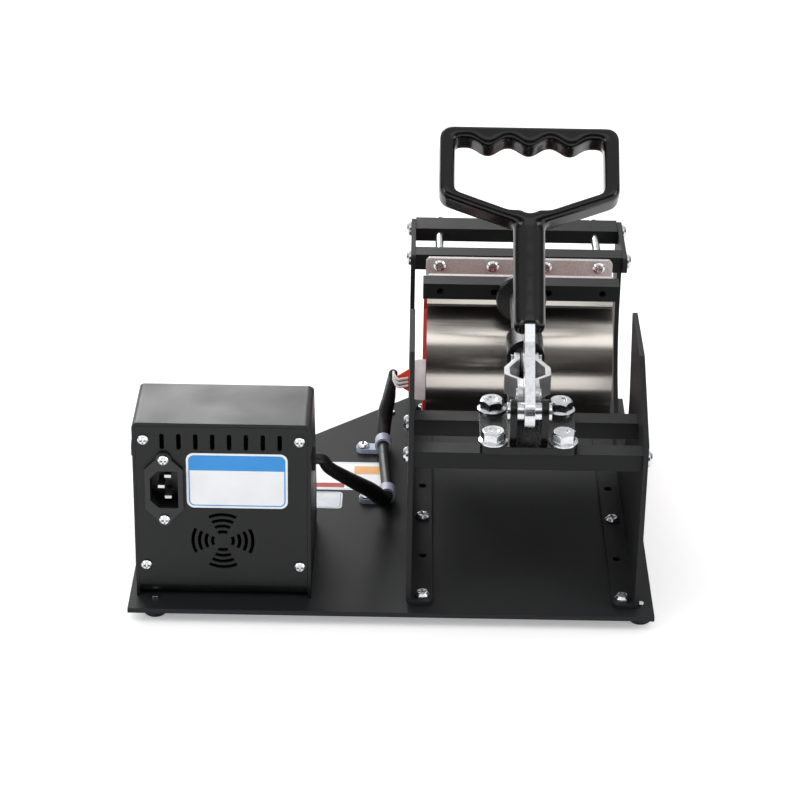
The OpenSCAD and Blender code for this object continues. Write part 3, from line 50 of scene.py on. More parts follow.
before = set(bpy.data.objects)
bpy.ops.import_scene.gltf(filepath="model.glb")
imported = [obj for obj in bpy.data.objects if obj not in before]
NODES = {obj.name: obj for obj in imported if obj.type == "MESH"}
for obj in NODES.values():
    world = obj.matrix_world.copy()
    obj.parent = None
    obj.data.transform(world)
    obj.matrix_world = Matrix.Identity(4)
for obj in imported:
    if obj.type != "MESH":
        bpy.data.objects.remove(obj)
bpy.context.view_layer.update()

MM = 0.001

# Places that the pieces share, in millimetres in the model's frame
DECK = 10.5
BAND_AXIS = (58.85, 82.0)
PRESS_X = 79.0

# The controller's sloping panel: up along it, out of it, and to the right as its user sees it
PANEL_UP = Vector((0, -0.4224, 0.9064))
PANEL_OUT = Vector((0, 0.9064, 0.4224))
PANEL_RIGHT = Vector((-1, 0, 0))

# Printed layers start this far under their face, in millimetres, so that no gap shows
SUNK = -0.02
# Most of a noise's values lie in this stretch
NOISE = {"From Min": 0.3, "From Max": 0.7}


def mm(*place):
    """A point in metres from millimetres."""
    return Vector([value * MM for value in place])


# ---------------------------------------------------------------- sizes and colours


def length(name, description, default, low, high):
    """A length in metres."""
    return FloatProperty(name=name, description=description, default=default, min=low, max=high,
                         subtype="DISTANCE", unit="LENGTH", precision=5)


def paint(name, description, default):
    """A colour kept as sRGB hex text."""
    return StringProperty(name=name, description=description, default=default, maxlen=7)


def degrees(name, description, default):
    """An angle, given in degrees."""
    return FloatProperty(name=name, description=description, default=math.radians(default),
                         subtype="ANGLE", unit="ROTATION")


def power(name, description, default):
    """The power of a light in watts."""
    return FloatProperty(name=name, description=description, default=default, min=0, max=200,
                         subtype="POWER", unit="POWER")


class PressSizes(bpy.types.PropertyGroup):
    """Sizes of the pieces that are made here."""

    jacket_inner_radius: length("Jacket radius", "Inside radius of the steel jacket", 44.5 * MM, 0.04, 0.05)
    jacket_thickness: length("Jacket thickness", "Thickness of the steel jacket", 1.2 * MM, 0.0005, 0.003)
    jacket_length: length("Jacket length", "Length of the steel jacket along the mug", 119 * MM, 0.1, 0.125)
    mat_inner_radius: length("Mat radius", "Inside radius of the heating mat", 41.4 * MM, 0.035, 0.045)
    mat_thickness: length("Mat thickness", "Thickness of the heating mat", 3 * MM, 0.001, 0.004)
    mat_length: length("Mat length", "Twice the mat's reach to the left of the band's middle", 122.6 * MM, 0.1, 0.13)
    gap_half: length("Half gap", "Half of the opening at the top of the band", 15.15 * MM, 0.01, 0.02)
    cord_radius: length("Cord radius", "Radius of the heater's cord", 3.5 * MM, 0.002, 0.005)
    wire_radius: length("Wire radius", "Radius of one heater wire", 0.9 * MM, 0.0005, 0.0015)
    label_width: length("Label width", "Width of the plate on the rear panel", 59.9 * MM, 0.03, 0.07)
    label_height: length("Label height", "Height of the plate on the rear panel", 36.5 * MM, 0.02, 0.04)


class PressColours(bpy.types.PropertyGroup):
    """Colours of the finishes, as sRGB hex."""

    powder_coat: paint("Powder coat", "Textured coat on the base and the side plates", "#1c1d1f")
    box_coat: paint("Box coat", "Smooth coat on the controller's box", "#121314")
    bar_coat: paint("Bar coat", "Satin coat on the bars", "#131415")
    casting: paint("Casting", "Enamel on the cast clamp", "#08080a")
    zinc: paint("Zinc", "Plating on the screws and bolts", "#dfe1e4")
    steel: paint("Steel", "Polished links and rod", "#d9d9da")
    stainless: paint("Stainless", "Brushed jacket", "#d3cdc6")
    strip: paint("Strip", "Clamping strips", "#d9d2d0")
    silicone_red: paint("Red silicone", "Heating mat", "#c2301f")
    silicone_pale: paint("Pale silicone", "Outlet of the heating mat", "#fdecee")
    red_tab: paint("Red tab", "Far part of the mat's outlet", "#e8402e")
    rubber: paint("Rubber", "Feet and grommet", "#161617")
    grip: paint("Grip", "Moulded grip", "#0b0b0c")
    dark_nylon: paint("Dark nylon", "Inlet, fuse holder and bezels", "#131415")
    clip: paint("Clip", "Cable clips", "#b9c4d8")
    sleeve: paint("Sleeve", "Shrunk sleeves on the cable", "#1a1a1b")
    cord: paint("Cord", "Jacket of the cord", "#232427")
    wire: paint("Wire", "Insulation of the heater wires", "#e6e3df")
    rocker: paint("Rocker", "Mains rocker", "#c4161c")
    button: paint("Button", "Keys", "#dcdcd8")
    window: paint("Window", "Smoked window of the display", "#150506")
    digit: paint("Digit", "Lit segments of the display", "#ff2a1c")
    solder_mask: paint("Solder mask", "Face of the circuit boards", "#0f5a34")
    pale_mask: paint("Pale mask", "Paler fields of the circuit boards", "#127041")
    track: paint("Track", "Lines between the fields", "#0a3d24")
    dark_iron: paint("Dark iron", "Gaps between the laminations", "#4b4540")
    pale_iron: paint("Pale iron", "Edges of the laminations", "#7d766e")
    header: paint("Header", "Band across the top of the plate", "#2f93e0")
    vinyl: paint("Vinyl", "Plate and stickers", "#f6f8fb")
    keyline: paint("Keyline", "Line round the white sticker", "#9cc6e6")
    amber: paint("Amber", "Amber block on the white sticker", "#e8a33a")
    silver: paint("Silver", "Face of the small sticker", "#94979b")
    ink: paint("Ink", "Dark print on the keys and the small sticker", "#26282c")
    floor: paint("Floor", "Studio floor", "#ffffff")


class StageSettings(bpy.types.PropertyGroup):
    """Camera and light."""

    pan: degrees("Pan", "Turn of the camera about the upright axis", -0.075)
    tilt: degrees("Tilt", "Angle at which the camera looks down", 26.818)
    roll: degrees("Roll", "Turn of the camera about its view", 0.942)
    place: FloatVectorProperty(name="Place", description="Where the camera stands", size=3,
                               default=(0.0051, -1.5086, 0.8426), subtype="TRANSLATION", unit="LENGTH")
    lens: FloatProperty(name="Lens", description="Focal length on a 36 mm frame", default=119.56,
                        min=20, max=300)
    key_watts: power("Key light", "Power of the long softbox above the camera", 3.0)
    back_watts: power("Back light", "Power of the softbox behind on the left", 24.0)
    fill_watts: power("Fill lights", "Power of the softbox on each side", 12.0)


def sizes():
    """The sizes as they are set."""
    return bpy.context.scene.press_sizes


def colours():
    """The colours as they are set."""
    return bpy.context.scene.press_colours


# ---------------------------------------------------------------- nodes and materials


def linear(text):
    """Linear colour from sRGB hex."""
    parts = [int(text[i:i + 2], 16) / 255 for i in (1, 3, 5)]
    return tuple(c / 12.92 if c <= 0.04045 else ((c + 0.055) / 1.055) ** 2.4 for c in parts) + (1.0,)


def shade(text, factor):
    """The same colour, lighter or darker."""
    r, g, b, a = linear(text)
    return (min(r * factor, 1), min(g * factor, 1), min(b * factor, 1), a)


def node(tree, kind, wires=None, stops=(), **settings):
    """Adds one node: its properties, values or links for its sockets, and (place, colour) stops for its ramp."""
    new = tree.nodes.new(kind)
    for key, value in settings.items():
        setattr(new, key, value)
    for key, value in (wires or {}).items():
        if isinstance(value, bpy.types.NodeSocket):
            tree.links.new(value, new.inputs[key])
        else:
            new.inputs[key].default_value = value
    if stops:
        points = new.color_ramp.elements
        points[0].position, points[0].color = stops[0]
        points[1].position, points[1].color = stops[-1]
        for place, colour in stops[1:-1]:
            points.new(place).color = colour
    return new


def begin(name, **plain):
    """A material with a Principled shader whose plain values are set on its own sockets."""
    made = bpy.data.materials.new(name)
    made.use_nodes = True
    tree = made.node_tree
    tree.nodes.clear()
    shader = node(tree, "ShaderNodeBsdfPrincipled", plain)
    node(tree, "ShaderNodeOutputMaterial", {"Surface": shader.outputs[0]})
    where = node(tree, "ShaderNodeTexCoord").outputs["Object"]
    return made, tree, shader, where


def surface(name, base, fine, cloud, tones, rough, bump, edge, wear_and_edge_highlight=None, dust=None, **plain):
    """A finish: two noises give its colour, roughness and relief, over edges that are softened and painted lighter,
    partly as wear and partly as a painted highlight.

    fine, cloud: grain in mm (one size, or one along each axis), detail and harshness of each noise
    tones: the noise that colours, then (place, factor) stops on the base colour
    rough: the noise that roughens, then its range
    bump: the noise that lifts the face, then the height in mm
    edge: radius of the softened edges in mm
    edges and dust: how much of the lighter edges (partly wear, partly a painted highlight) and of the cloudy film
    shows, and its factor on the base colour
    """
    made, tree, shader, where = begin(name, **plain)
    noises = {}
    for key, (size, detail, harsh) in (("fine", fine), ("cloud", cloud)):
        grains = size if isinstance(size, tuple) else (size, size, size)
        at = node(tree, "ShaderNodeMapping", {"Vector": where, "Scale": [1 / (grain * MM) for grain in grains]})
        noises[key] = node(tree, "ShaderNodeTexNoise", {
            "Vector": at.outputs[0], "Scale": 1.0, "Detail": detail, "Roughness": harsh}).outputs["Fac"]
    colour = node(tree, "ShaderNodeValToRGB", {"Fac": noises[tones[0]]},
                  [(place, shade(base, factor)) for place, factor in tones[1:]]).outputs["Color"]
    if dust:
        film = node(tree, "ShaderNodeMapRange", {"Value": noises["cloud"], **NOISE,
                                                 "To Max": dust[0]}).outputs[0]
        colour = node(tree, "ShaderNodeMix", {0: film, 6: colour, 7: shade(base, dust[1])},
                      data_type="RGBA").outputs[2]
    # where the softened normal leaves the face's own, an edge is near
    soft = node(tree, "ShaderNodeBevel", {"Radius": edge * MM}, samples=6).outputs[0]
    flat = node(tree, "ShaderNodeNewGeometry").outputs["Normal"]
    along = node(tree, "ShaderNodeVectorMath", {0: soft, 1: flat}, operation="DOT_PRODUCT").outputs["Value"]
    # edges are painted lighter here: partly wear, partly a painted highlight along the rounded edge
    if wear_and_edge_highlight:
        near = node(tree, "ShaderNodeMapRange", {"Value": along, "From Min": 0.8, "From Max": 0.995,
                                                 "To Min": wear_and_edge_highlight[0], "To Max": 0.0}).outputs[0]
        colour = node(tree, "ShaderNodeMix", {0: near, 6: colour, 7: shade(base, wear_and_edge_highlight[1])},
                      data_type="RGBA").outputs[2]
    tree.links.new(colour, shader.inputs["Base Color"])
    dull = node(tree, "ShaderNodeMapRange", {"Value": noises[rough[0]], **NOISE,
                                             "To Min": rough[1], "To Max": rough[2]})
    tree.links.new(dull.outputs[0], shader.inputs["Roughness"])
    lifted = node(tree, "ShaderNodeBump", {"Height": noises[bump[0]], "Distance": bump[1] * MM, "Normal": soft})
    tree.links.new(lifted.outputs[0], shader.inputs["Normal"])
    return made


def sand_powder_coat():
    """Polyester powder coat with a sand texture, sprayed on sheet steel and baked."""
    # dull charcoal with a fine speckle where the grain tips catch light, paler along edges, partly wear and partly a
    # painted highlight;
    # the real grain is about 0.25 mm, drawn at 0.75 mm so that it still shows in the render
    return surface("sand_powder_coat", colours().powder_coat, fine=(0.75, 3, 0.6), cloud=(45, 2, 0.5),
                   tones=("fine", (0.35, 0.72), (0.55, 1.0), (0.7, 1.55)), dust=(0.22, 1.35),
                   rough=("fine", 0.5, 0.66), bump=("fine", 0.07), edge=0.5, wear_and_edge_highlight=(0.35, 2.6),
                   **{"IOR": 1.5, "Specular IOR Level": 0.26})


def smooth_powder_coat():
    """Semi-gloss powder coat on the thin sheet of the controller's box."""
    # black with a broad soft shine over fine orange peel of about 1 mm, so its top turns pale where it faces the
    # light; its edges are painted paler, partly wear and partly a painted highlight
    return surface("smooth_powder_coat", colours().box_coat, fine=(1.0, 2, 0.5), cloud=(30, 3, 0.5),
                   tones=("cloud", (0.3, 0.85), (0.7, 1.2)), rough=("cloud", 0.3, 0.4), bump=("fine", 0.05),
                   edge=0.6, wear_and_edge_highlight=(0.3, 3.0), **{"IOR": 1.5, "Specular IOR Level": 0.3})


def satin_powder_coat():
    """Smooth satin powder coat on the bar stock."""
    # near black with a soft sheen and faint orange peel of about 1.6 mm, edges painted a little paler, partly wear and
    # partly a painted highlight
    return surface("satin_powder_coat", colours().bar_coat, fine=(1.6, 2, 0.5), cloud=(25, 3, 0.5),
                   tones=("cloud", (0.3, 0.85), (0.7, 1.2)), rough=("cloud", 0.38, 0.5), bump=("fine", 0.05),
                   edge=0.5, wear_and_edge_highlight=(0.3, 3.0), **{"IOR": 1.5, "Specular IOR Level": 0.2})


def enamelled_casting():
    """Cast iron clamp body dipped in gloss enamel."""
    # wet-looking black over a pebbled casting, so highlights break up into flecks
    return surface("enamelled_casting", colours().casting, fine=(0.9, 3, 0.6), cloud=(20, 2, 0.5),
                   tones=("fine", (0.3, 0.8), (0.75, 2.2)), rough=("fine", 0.16, 0.34), bump=("fine", 0.12), edge=0.8,
                   **{"IOR": 1.5, "Specular IOR Level": 0.26, "Coat Weight": 0.08, "Coat Roughness": 0.08,
                      "Coat IOR": 1.5})


def bright_zinc():
    """Electroplated bright zinc on turned and headed steel."""
    # silver with a cool cast, sharp reflections and faint clouding from the bath
    return surface("bright_zinc", colours().zinc, fine=(0.8, 2, 0.5), cloud=(3.5, 3, 0.5),
                   tones=("cloud", (0.3, 0.82), (0.7, 1.0)), rough=("cloud", 0.16, 0.3), bump=("fine", 0.02),
                   edge=0.35, **{"Metallic": 1.0})


def polished_steel():
    """Ground and polished steel with nickel plating."""
    # bright satin bands with softened limits, fine lines left by the wheel;
    # wheel marks are about 0.1 mm apart, drawn at 0.5 mm
    return surface("polished_steel", colours().steel, fine=((0.5, 14, 0.5), 2, 0.5), cloud=(6, 2, 0.5),
                   tones=("cloud", (0.3, 0.85), (0.7, 1.0)), rough=("fine", 0.3, 0.44), bump=("fine", 0.015),
                   edge=0.35, **{"Metallic": 1.0})


def brushed_stainless():
    """Stainless sheet brushed along the mug before it was rolled round the mat."""
    # bands of light and dark along the mug, their limits softened up and down, with faint streaks along them
    made, tree, shader, where = begin("brushed_stainless", **{
        "Metallic": 1.0, "Anisotropic": 0.6, "Anisotropic Rotation": 0.25})
    base = colours().stainless
    # brush lines are about 0.1 mm apart, drawn at 0.6 mm; they run some 40 mm along the mug
    at = node(tree, "ShaderNodeMapping", {"Vector": where, "Scale": (1 / (40 * MM), 1 / (0.6 * MM), 1 / (0.6 * MM))})
    lines = node(tree, "ShaderNodeTexNoise", {"Vector": at.outputs[0], "Scale": 1.0, "Detail": 4,
                                              "Roughness": 0.65}).outputs["Fac"]
    # the mill's own marks are broader and faint
    cloud = node(tree, "ShaderNodeTexNoise", {"Vector": where, "Scale": 1 / (14 * MM), "Detail": 3}).outputs["Fac"]
    colour = node(tree, "ShaderNodeValToRGB", {"Fac": lines},
                  [(0.3, shade(base, 0.88)), (0.7, shade(base, 1.0))]).outputs["Color"]
    film = node(tree, "ShaderNodeMapRange", {"Value": cloud, **NOISE, "To Max": 0.6}).outputs[0]
    colour = node(tree, "ShaderNodeMix", {0: film, 6: colour, 7: shade(base, 0.86)}, data_type="RGBA").outputs[2]
    tree.links.new(colour, shader.inputs["Base Color"])
    dull = node(tree, "ShaderNodeMapRange", {"Value": lines, **NOISE, "To Min": 0.17, "To Max": 0.26})
    tree.links.new(dull.outputs[0], shader.inputs["Roughness"])
    tree.links.new(node(tree, "ShaderNodeTangent", direction_type="RADIAL", axis="X").outputs[0],
                   shader.inputs["Tangent"])
    tree.links.new(node(tree, "ShaderNodeBump", {"Height": lines, "Distance": 0.004 * MM}).outputs[0],
                   shader.inputs["Normal"])
    return made


def tumbled_strip():
    """Steel strip, sheared and tumbled, left bare and oiled."""
    # satin pinkish grey with a fine even speckle and rounded edges painted brighter, partly wear and partly a painted
    # highlight;
    # tumbling marks are about 0.2 mm, drawn at 0.8 mm
    return surface("tumbled_strip", colours().strip, fine=(0.8, 3, 0.7), cloud=(12, 2, 0.5),
                   tones=("fine", (0.3, 0.6), (0.55, 0.85), (0.75, 1.1)), rough=("cloud", 0.36, 0.48),
                   bump=("fine", 0.03), edge=0.5, wear_and_edge_highlight=(1.0, 1.3), **{"Metallic": 0.45, "IOR": 1.5})


def silicone(name, base):
    """Silicone rubber cured on glass cloth, with the cloth's print in its face."""
    # soft sheen with faint clouding over a shallow woven print
    made, tree, shader, where = begin(name, **{"IOR": 1.41, "Sheen Weight": 0.15, "Sheen Roughness": 0.4,
                                               "Subsurface Weight": 0.05, "Subsurface Scale": 0.002})
    # the cloth's threads are 0.5 mm apart, drawn 6.3 mm apart: the texture turns 20 radians to a unit
    threads = [node(tree, "ShaderNodeTexWave", {"Vector": where, "Scale": 1 / (20 * MM)},
                    bands_direction=way).outputs["Fac"] for way in ("X", "Z")]
    weave = node(tree, "ShaderNodeMath", {0: threads[0], 1: threads[1]}, operation="MULTIPLY").outputs[0]
    cloud = node(tree, "ShaderNodeTexNoise", {"Vector": where, "Scale": 1 / (9 * MM), "Detail": 3}).outputs["Fac"]
    colour = node(tree, "ShaderNodeValToRGB", {"Fac": cloud}, [(0.3, shade(base, 0.8)), (0.7, shade(base, 1.1))])
    tree.links.new(colour.outputs["Color"], shader.inputs["Base Color"])
    dull = node(tree, "ShaderNodeMapRange", {"Value": cloud, **NOISE, "To Min": 0.42, "To Max": 0.6})
    tree.links.new(dull.outputs[0], shader.inputs["Roughness"])
    tree.links.new(node(tree, "ShaderNodeBump", {"Height": weave, "Distance": 0.06 * MM}).outputs[0],
                   shader.inputs["Normal"])
    return made


def moulded(name, base, low, high, grit, depth, edge, lift, dark=0.85, **plain):
    """Plastic or rubber in one colour, moulded, extruded or printed."""
    # lift paints the edges lighter: partly wear, partly a painted highlight
    return surface(name, base, fine=(grit, 2, 0.5), cloud=(14, 2, 0.5),
                   tones=("cloud", (0.3, dark), (0.7, 1.0 + (1 - dark) / 2)), rough=("fine", low, high),
                   bump=("fine", depth), edge=edge, wear_and_edge_highlight=(1.0, lift), **dict({"IOR": 1.5}, **plain))


def gloss_grip():
    """High-gloss moulded polypropylene over a steel core."""
    # deep black with window-like highlights that waver slightly with the mould's polish
    return surface("gloss_polypropylene", colours().grip, fine=(1.2, 2, 0.5), cloud=(18, 2, 0.5),
                   tones=("cloud", (0.3, 0.8), (0.7, 1.4)), rough=("fine", 0.15, 0.24), bump=("cloud", 0.25), edge=1.0,
                   **{"IOR": 1.49, "Specular IOR Level": 0.3, "Coat Weight": 0.1, "Coat Roughness": 0.05,
                      "Coat IOR": 1.5})


def circuit_laminate():
    """Glass-epoxy board under green solder mask."""
    # green gloss with darker tracks round fields of 6 by 3 mm, half and a quarter of the texture's unit
    made, tree, shader, where = begin("circuit_laminate", **{"IOR": 1.55, "Roughness": 0.32})
    c = colours()
    tracks = node(tree, "ShaderNodeTexBrick", {
        "Vector": where, "Scale": 1 / (12 * MM), "Color1": linear(c.solder_mask), "Color2": linear(c.pale_mask),
        "Mortar": linear(c.track), "Mortar Size": 0.03}).outputs["Color"]
    tree.links.new(tracks, shader.inputs["Base Color"])
    return made


def transformer_laminations():
    """Stacked iron laminations, varnished."""
    # alternating lines across a brown-grey block
    made, tree, shader, where = begin("transformer_laminations", **{"Metallic": 0.6, "Roughness": 0.47})
    # laminations are 0.5 mm thick, drawn 3.1 mm apart: the texture turns 20 radians to a unit
    lines = node(tree, "ShaderNodeTexWave", {"Vector": where, "Scale": 1 / (10 * MM)},
                 bands_direction="Z").outputs["Fac"]
    colour = node(tree, "ShaderNodeValToRGB", {"Fac": lines}, [
        (0.2, linear(colours().dark_iron)), (0.8, linear(colours().pale_iron))]).outputs["Color"]
    tree.links.new(colour, shader.inputs["Base Color"])
    return made


def studio_floor():
    """Seamless paper sweep, rolled flat."""
    # plain white that keeps the soft shadow under the feet; what the camera and mirrors see of it is lifted
    made, tree, shader, where = begin("studio_paper", **{"Roughness": 0.9, "Specular IOR Level": 0.1})
    base = colours().floor
    cloud = node(tree, "ShaderNodeTexNoise", {"Vector": where, "Scale": 1 / (300 * MM)}).outputs["Fac"]
    tree.links.new(node(tree, "ShaderNodeValToRGB", {"Fac": cloud}, [
        (0.3, shade(base, 0.90)), (0.7, shade(base, 0.92))]).outputs["Color"], shader.inputs["Base Color"])
    rays = node(tree, "ShaderNodeLightPath").outputs
    seen = node(tree, "ShaderNodeMath", {0: rays["Is Camera Ray"], 1: rays["Is Glossy Ray"]},
                operation="MAXIMUM").outputs[0]
    seen = node(tree, "ShaderNodeMath", {0: seen, 1: rays["Is Transmission Ray"]}, operation="MAXIMUM").outputs[0]
    # strength of the light that the paper gives off where it is seen
    strength = 0.32
    lift = node(tree, "ShaderNodeMath", {0: seen, 1: strength}, operation="MULTIPLY").outputs[0]
    glow = node(tree, "ShaderNodeEmission", {"Color": (1, 1, 1, 1), "Strength": lift}).outputs[0]
    both = node(tree, "ShaderNodeAddShader", {0: shader.outputs[0], 1: glow}).outputs[0]
    out = next(n for n in tree.nodes if n.type == "OUTPUT_MATERIAL")
    tree.links.new(both, out.inputs["Surface"])
    return made


# Finishes with a function of their own
MAKERS = {
    "sand": sand_powder_coat, "smooth": smooth_powder_coat, "satin": satin_powder_coat,
    "casting": enamelled_casting, "zinc": bright_zinc, "steel": polished_steel, "stainless": brushed_stainless,
    "strip": tumbled_strip, "grip": gloss_grip, "board": circuit_laminate, "iron": transformer_laminations,
    "floor": studio_floor,
}

# Cured red and pale silicone of the heating mat: name and colour
SILICONES = {
    "red_silicone": ("red_silicone_mat", "silicone_red"),
    "red_tab": ("red_silicone_tab", "red_tab"),
    "pale_silicone": ("pale_silicone_outlet", "silicone_pale"),
}

# Plastics, rubbers and prints: name and colour; roughness from and to, grain, its depth and the softened edge in mm,
# factor on edges painted lighter (partly wear, partly a painted highlight), and the darkest factor where it isn't the
# usual one; then other values of the shader
MOULDED = {
    # moulded nitrile rubber: matt black, no clear reflections
    "rubber": ("nitrile_rubber", "rubber", (0.68, 0.85, 1.2, 0.05, 0.6, 1.3)),
    # glass-filled nylon with a spark-eroded face: dark satin
    "nylon": ("glass_filled_nylon", "dark_nylon", (0.34, 0.5, 0.9, 0.03, 0.4, 2.4)),
    # natural nylon: milky blue-grey, slightly waxy
    "clip": ("natural_nylon", "clip", (0.34, 0.46, 1.5, 0.02, 0.4, 1.1),
             {"Subsurface Weight": 0.15, "Subsurface Scale": 0.003}),
    # shrunk polyolefin sleeve: matt black with shallow wrinkles
    "sleeve": ("shrunk_polyolefin", "sleeve", (0.42, 0.62, 3.2, 0.16, 0.5, 1.3)),
    # extruded PVC: dark grey with a dull shine
    "cord": ("extruded_pvc", "cord", (0.36, 0.48, 2.0, 0.05, 0.3, 1.2)),
    # extruded silicone insulation: white and waxy
    "wire": ("silicone_insulation", "wire", (0.4, 0.55, 1.5, 0.03, 0.2, 1.0)),
    # tinted polycarbonate: saturated red gloss
    "rocker": ("tinted_polycarbonate", "rocker", (0.16, 0.24, 1.5, 0.02, 0.3, 1.3),
               {"Coat Weight": 0.4, "Coat Roughness": 0.06}),
    # moulded ABS: off-white satin
    "button": ("moulded_abs", "button", (0.32, 0.44, 1.0, 0.02, 0.4, 1.1)),
    # smoked acrylic: dark gloss with a red cast
    "window": ("smoked_acrylic", "window", (0.07, 0.12, 8.0, 0.01, 0.3, 1.5), {"Specular IOR Level": 0.35}),
    # lit red segments behind the smoked window
    "digit": ("lit_segment", "digit", (0.3, 0.4, 3.0, 0.01, 0.05, 1.0), {"Emission Strength": 0.6}),
    # self-adhesive vinyl and screen print on it: flat satin, in white, blue, amber, silver and near black
    "vinyl": ("printed_vinyl_white", "vinyl", (0.3, 0.38, 6.0, 0.02, 0.1, 1.0, 0.96)),
    "header": ("printed_vinyl_blue", "header", (0.28, 0.36, 6.0, 0.02, 0.1, 1.0, 0.95)),
    "keyline": ("printed_vinyl_pale_blue", "keyline", (0.3, 0.38, 6.0, 0.02, 0.1, 1.0)),
    "amber": ("printed_vinyl_amber", "amber", (0.3, 0.38, 6.0, 0.02, 0.1, 1.0)),
    "silver": ("printed_vinyl_silver", "silver", (0.3, 0.42, 2.0, 0.02, 0.1, 1.1), {"Metallic": 0.7}),
    "ink": ("printed_ink_dark", "ink", (0.4, 0.5, 4.0, 0.01, 0.1, 1.0)),
}

_made = {}


def finish(name):
    """The material of this name, made once."""
    if name not in _made:
        if name in MAKERS:
            _made[name] = MAKERS[name]()
        elif name in SILICONES:
            title, colour = SILICONES[name]
            _made[name] = silicone(title, getattr(colours(), colour))
        else:
            title, colour, numbers, *more = MOULDED[name]
            base, plain = getattr(colours(), colour), dict(*more)
            if "Emission Strength" in plain:
                plain["Emission Color"] = linear(base)
            _made[name] = moulded(title, base, *numbers, **plain)
    return _made[name]


# ---------------------------------------------------------------- mesh helpers


def solid(name, points, faces, material, smooth=True, angle=40):
    """A mesh object in the model's frame, points in millimetres."""
    mesh = bpy.data.meshes.new(name)
    mesh.from_pydata([mm(*p) for p in points], [], faces)
    shape = bmesh.new()
    shape.from_mesh(mesh)
    bmesh.ops.recalc_face_normals(shape, faces=shape.faces)
    shape.to_mesh(mesh)
    shape.free()
    made = bpy.data.objects.new(name, mesh)
    bpy.context.scene.collection.objects.link(made)
    made.data.materials.append(finish(material))
    if smooth:
        mesh.shade_smooth()
        mesh.set_sharp_from_angle(angle=math.radians(angle))
    return made


def joined(name, parts):
    """Joins mesh objects into one, keeping their materials."""
    parts[0].name = name
    if len(parts) == 1:
        return parts[0]
    bpy.ops.object.select_all(action="DESELECT")
    for part in parts:
        part.select_set(True)
    bpy.context.view_layer.objects.active = parts[0]
    bpy.ops.object.join()
    return parts[0]


def run_between(points, steps):
    """Smooth curve through points [x, y, z, radius], with steps pieces between each pair."""
    out = []
    last = len(points) - 1
    for i in range(last):
        a, b, c, d = (Vector(points[max(i - 1, 0)]), Vector(points[i]), Vector(points[i + 1]),
                      Vector(points[min(i + 2, last)]))
        for k in range(steps):
            t = k / steps
            out.append(0.5 * (2 * b + (c - a) * t + (2 * a - 5 * b + 4 * c - d) * t * t
                              + (3 * b - a - 3 * c + d) * t ** 3))
    out.append(Vector(points[last]))
    return out


def hoops(count, n):
    """Faces between each two of count rings that have n points each."""
    return [(i * n + j, (i + 1) * n + j, (i + 1) * n + (j + 1) % n, i * n + (j + 1) % n)
            for i in range(count - 1) for j in range(n)]


def tube(name, points, sides, material, steps=6, wrinkle=0.0):
    """Round tube through points [x, y, z, radius] in millimetres, its ends rounded over."""
    path = run_between(points, steps)
    centre = [Vector(p[:3]) for p in path]
    radius = [p[3] for p in path]
    last = len(centre) - 1
    along = [(centre[min(i + 1, last)] - centre[max(i - 1, 0)]).normalized() for i in range(last + 1)]
    side = Vector((0, 0, 1)) if abs(along[0].z) < 0.9 else Vector((1, 0, 0))
    rings = []
    for i in range(last + 1):
        side = (side - side.dot(along[i]) * along[i]).normalized()
        other = along[i].cross(side)
        # two waves that don't keep step make the wrinkles uneven
        r = radius[i] * (1 + wrinkle * math.sin(1.9 * i) * math.sin(0.7 * i))
        rings.append((centre[i], side.copy(), other, r))
    # each end is rounded over within this share of the radius
    lip = 0.35
    first, final = rings[0], rings[last]
    stack = [(first[0], first, 0.55), (first[0] + along[0] * lip * radius[0] * 0.4, first, 0.9),
             (first[0] + along[0] * radius[0] * lip, first, 1.0)]
    stack += [(ring[0], ring, 1.0) for ring in rings[1:last]]
    stack += [(final[0] - along[last] * radius[last] * lip, final, 1.0),
              (final[0] - along[last] * radius[last] * lip * 0.6, final, 0.9), (final[0], final, 0.55)]
    verts = []
    for middle, (_, a, b, r), factor in stack:
        for j in range(sides):
            turn = 2 * math.pi * j / sides
            verts.append(middle + factor * r * (math.cos(turn) * a + math.sin(turn) * b))
    faces = hoops(len(stack), sides)
    faces.append(tuple(range(sides)))
    faces.append(tuple(range((len(stack) - 1) * sides, len(stack) * sides)))
    return solid(name, verts, faces, material, angle=60)


def swept(name, outline, xs, material):
    """Closed outline in (y, z) millimetres drawn along the x places."""
    n = len(outline)
    verts = [(x, y, z) for x in xs for y, z in outline]
    faces = hoops(len(xs), n)
    half = n // 2
    # the outline is a strip: its two long sides mirror each other, so its ends close as quads
    for i in (0, len(xs) - 1):
        for j in range(half - 1):
            faces.append((i * n + j, i * n + j + 1, i * n + n - 2 - j, i * n + n - 1 - j))
    return solid(name, verts, faces, material)


def round_plate(width, height, radius):
    """Corner points of a rectangle with round corners, centred."""
    steps = 8
    out = []
    for cx, cy, start in ((1, 1, 0), (-1, 1, 90), (-1, -1, 180), (1, -1, 270)):
        for k in range(steps + 1):
            a = math.radians(start + 90 * k / steps)
            out.append((cx * (width / 2 - radius) + radius * math.cos(a),
                        cy * (height / 2 - radius) + radius * math.sin(a)))
    return out


def layer(name, outline, placed, low, high, material):
    """Thin printed layer: an outline lifted from low to high along the third axis of placed()."""
    n = len(outline)
    verts = [placed(u, v, low) for u, v in outline] + [placed(u, v, high) for u, v in outline]
    faces = [tuple(range(n)), tuple(range(n, 2 * n))]
    faces += [(j, (j + 1) % n, n + (j + 1) % n, n + j) for j in range(n)]
    return solid(name, verts, faces, material, smooth=False)


def ring_layer(name, outer, inner, placed, low, high, material):
    """Thin printed line between two outlines with the same count of points."""
    n = len(outer)
    verts = [placed(u, v, w) for w in (low, high) for u, v in list(outer) + list(inner)]
    faces = []
    for j in range(n):
        k = (j + 1) % n
        # front, back, outer wall and inner wall
        for a, b in ((2, 3), (0, 1), (0, 2), (1, 3)):
            faces.append((a * n + j, a * n + k, b * n + k, b * n + j))
    return solid(name, verts, faces, material, smooth=False)


def follows_band(piece):
    """Bakes a piece of the band into the model's frame."""
    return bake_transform(piece)


# ---------------------------------------------------------------- pieces


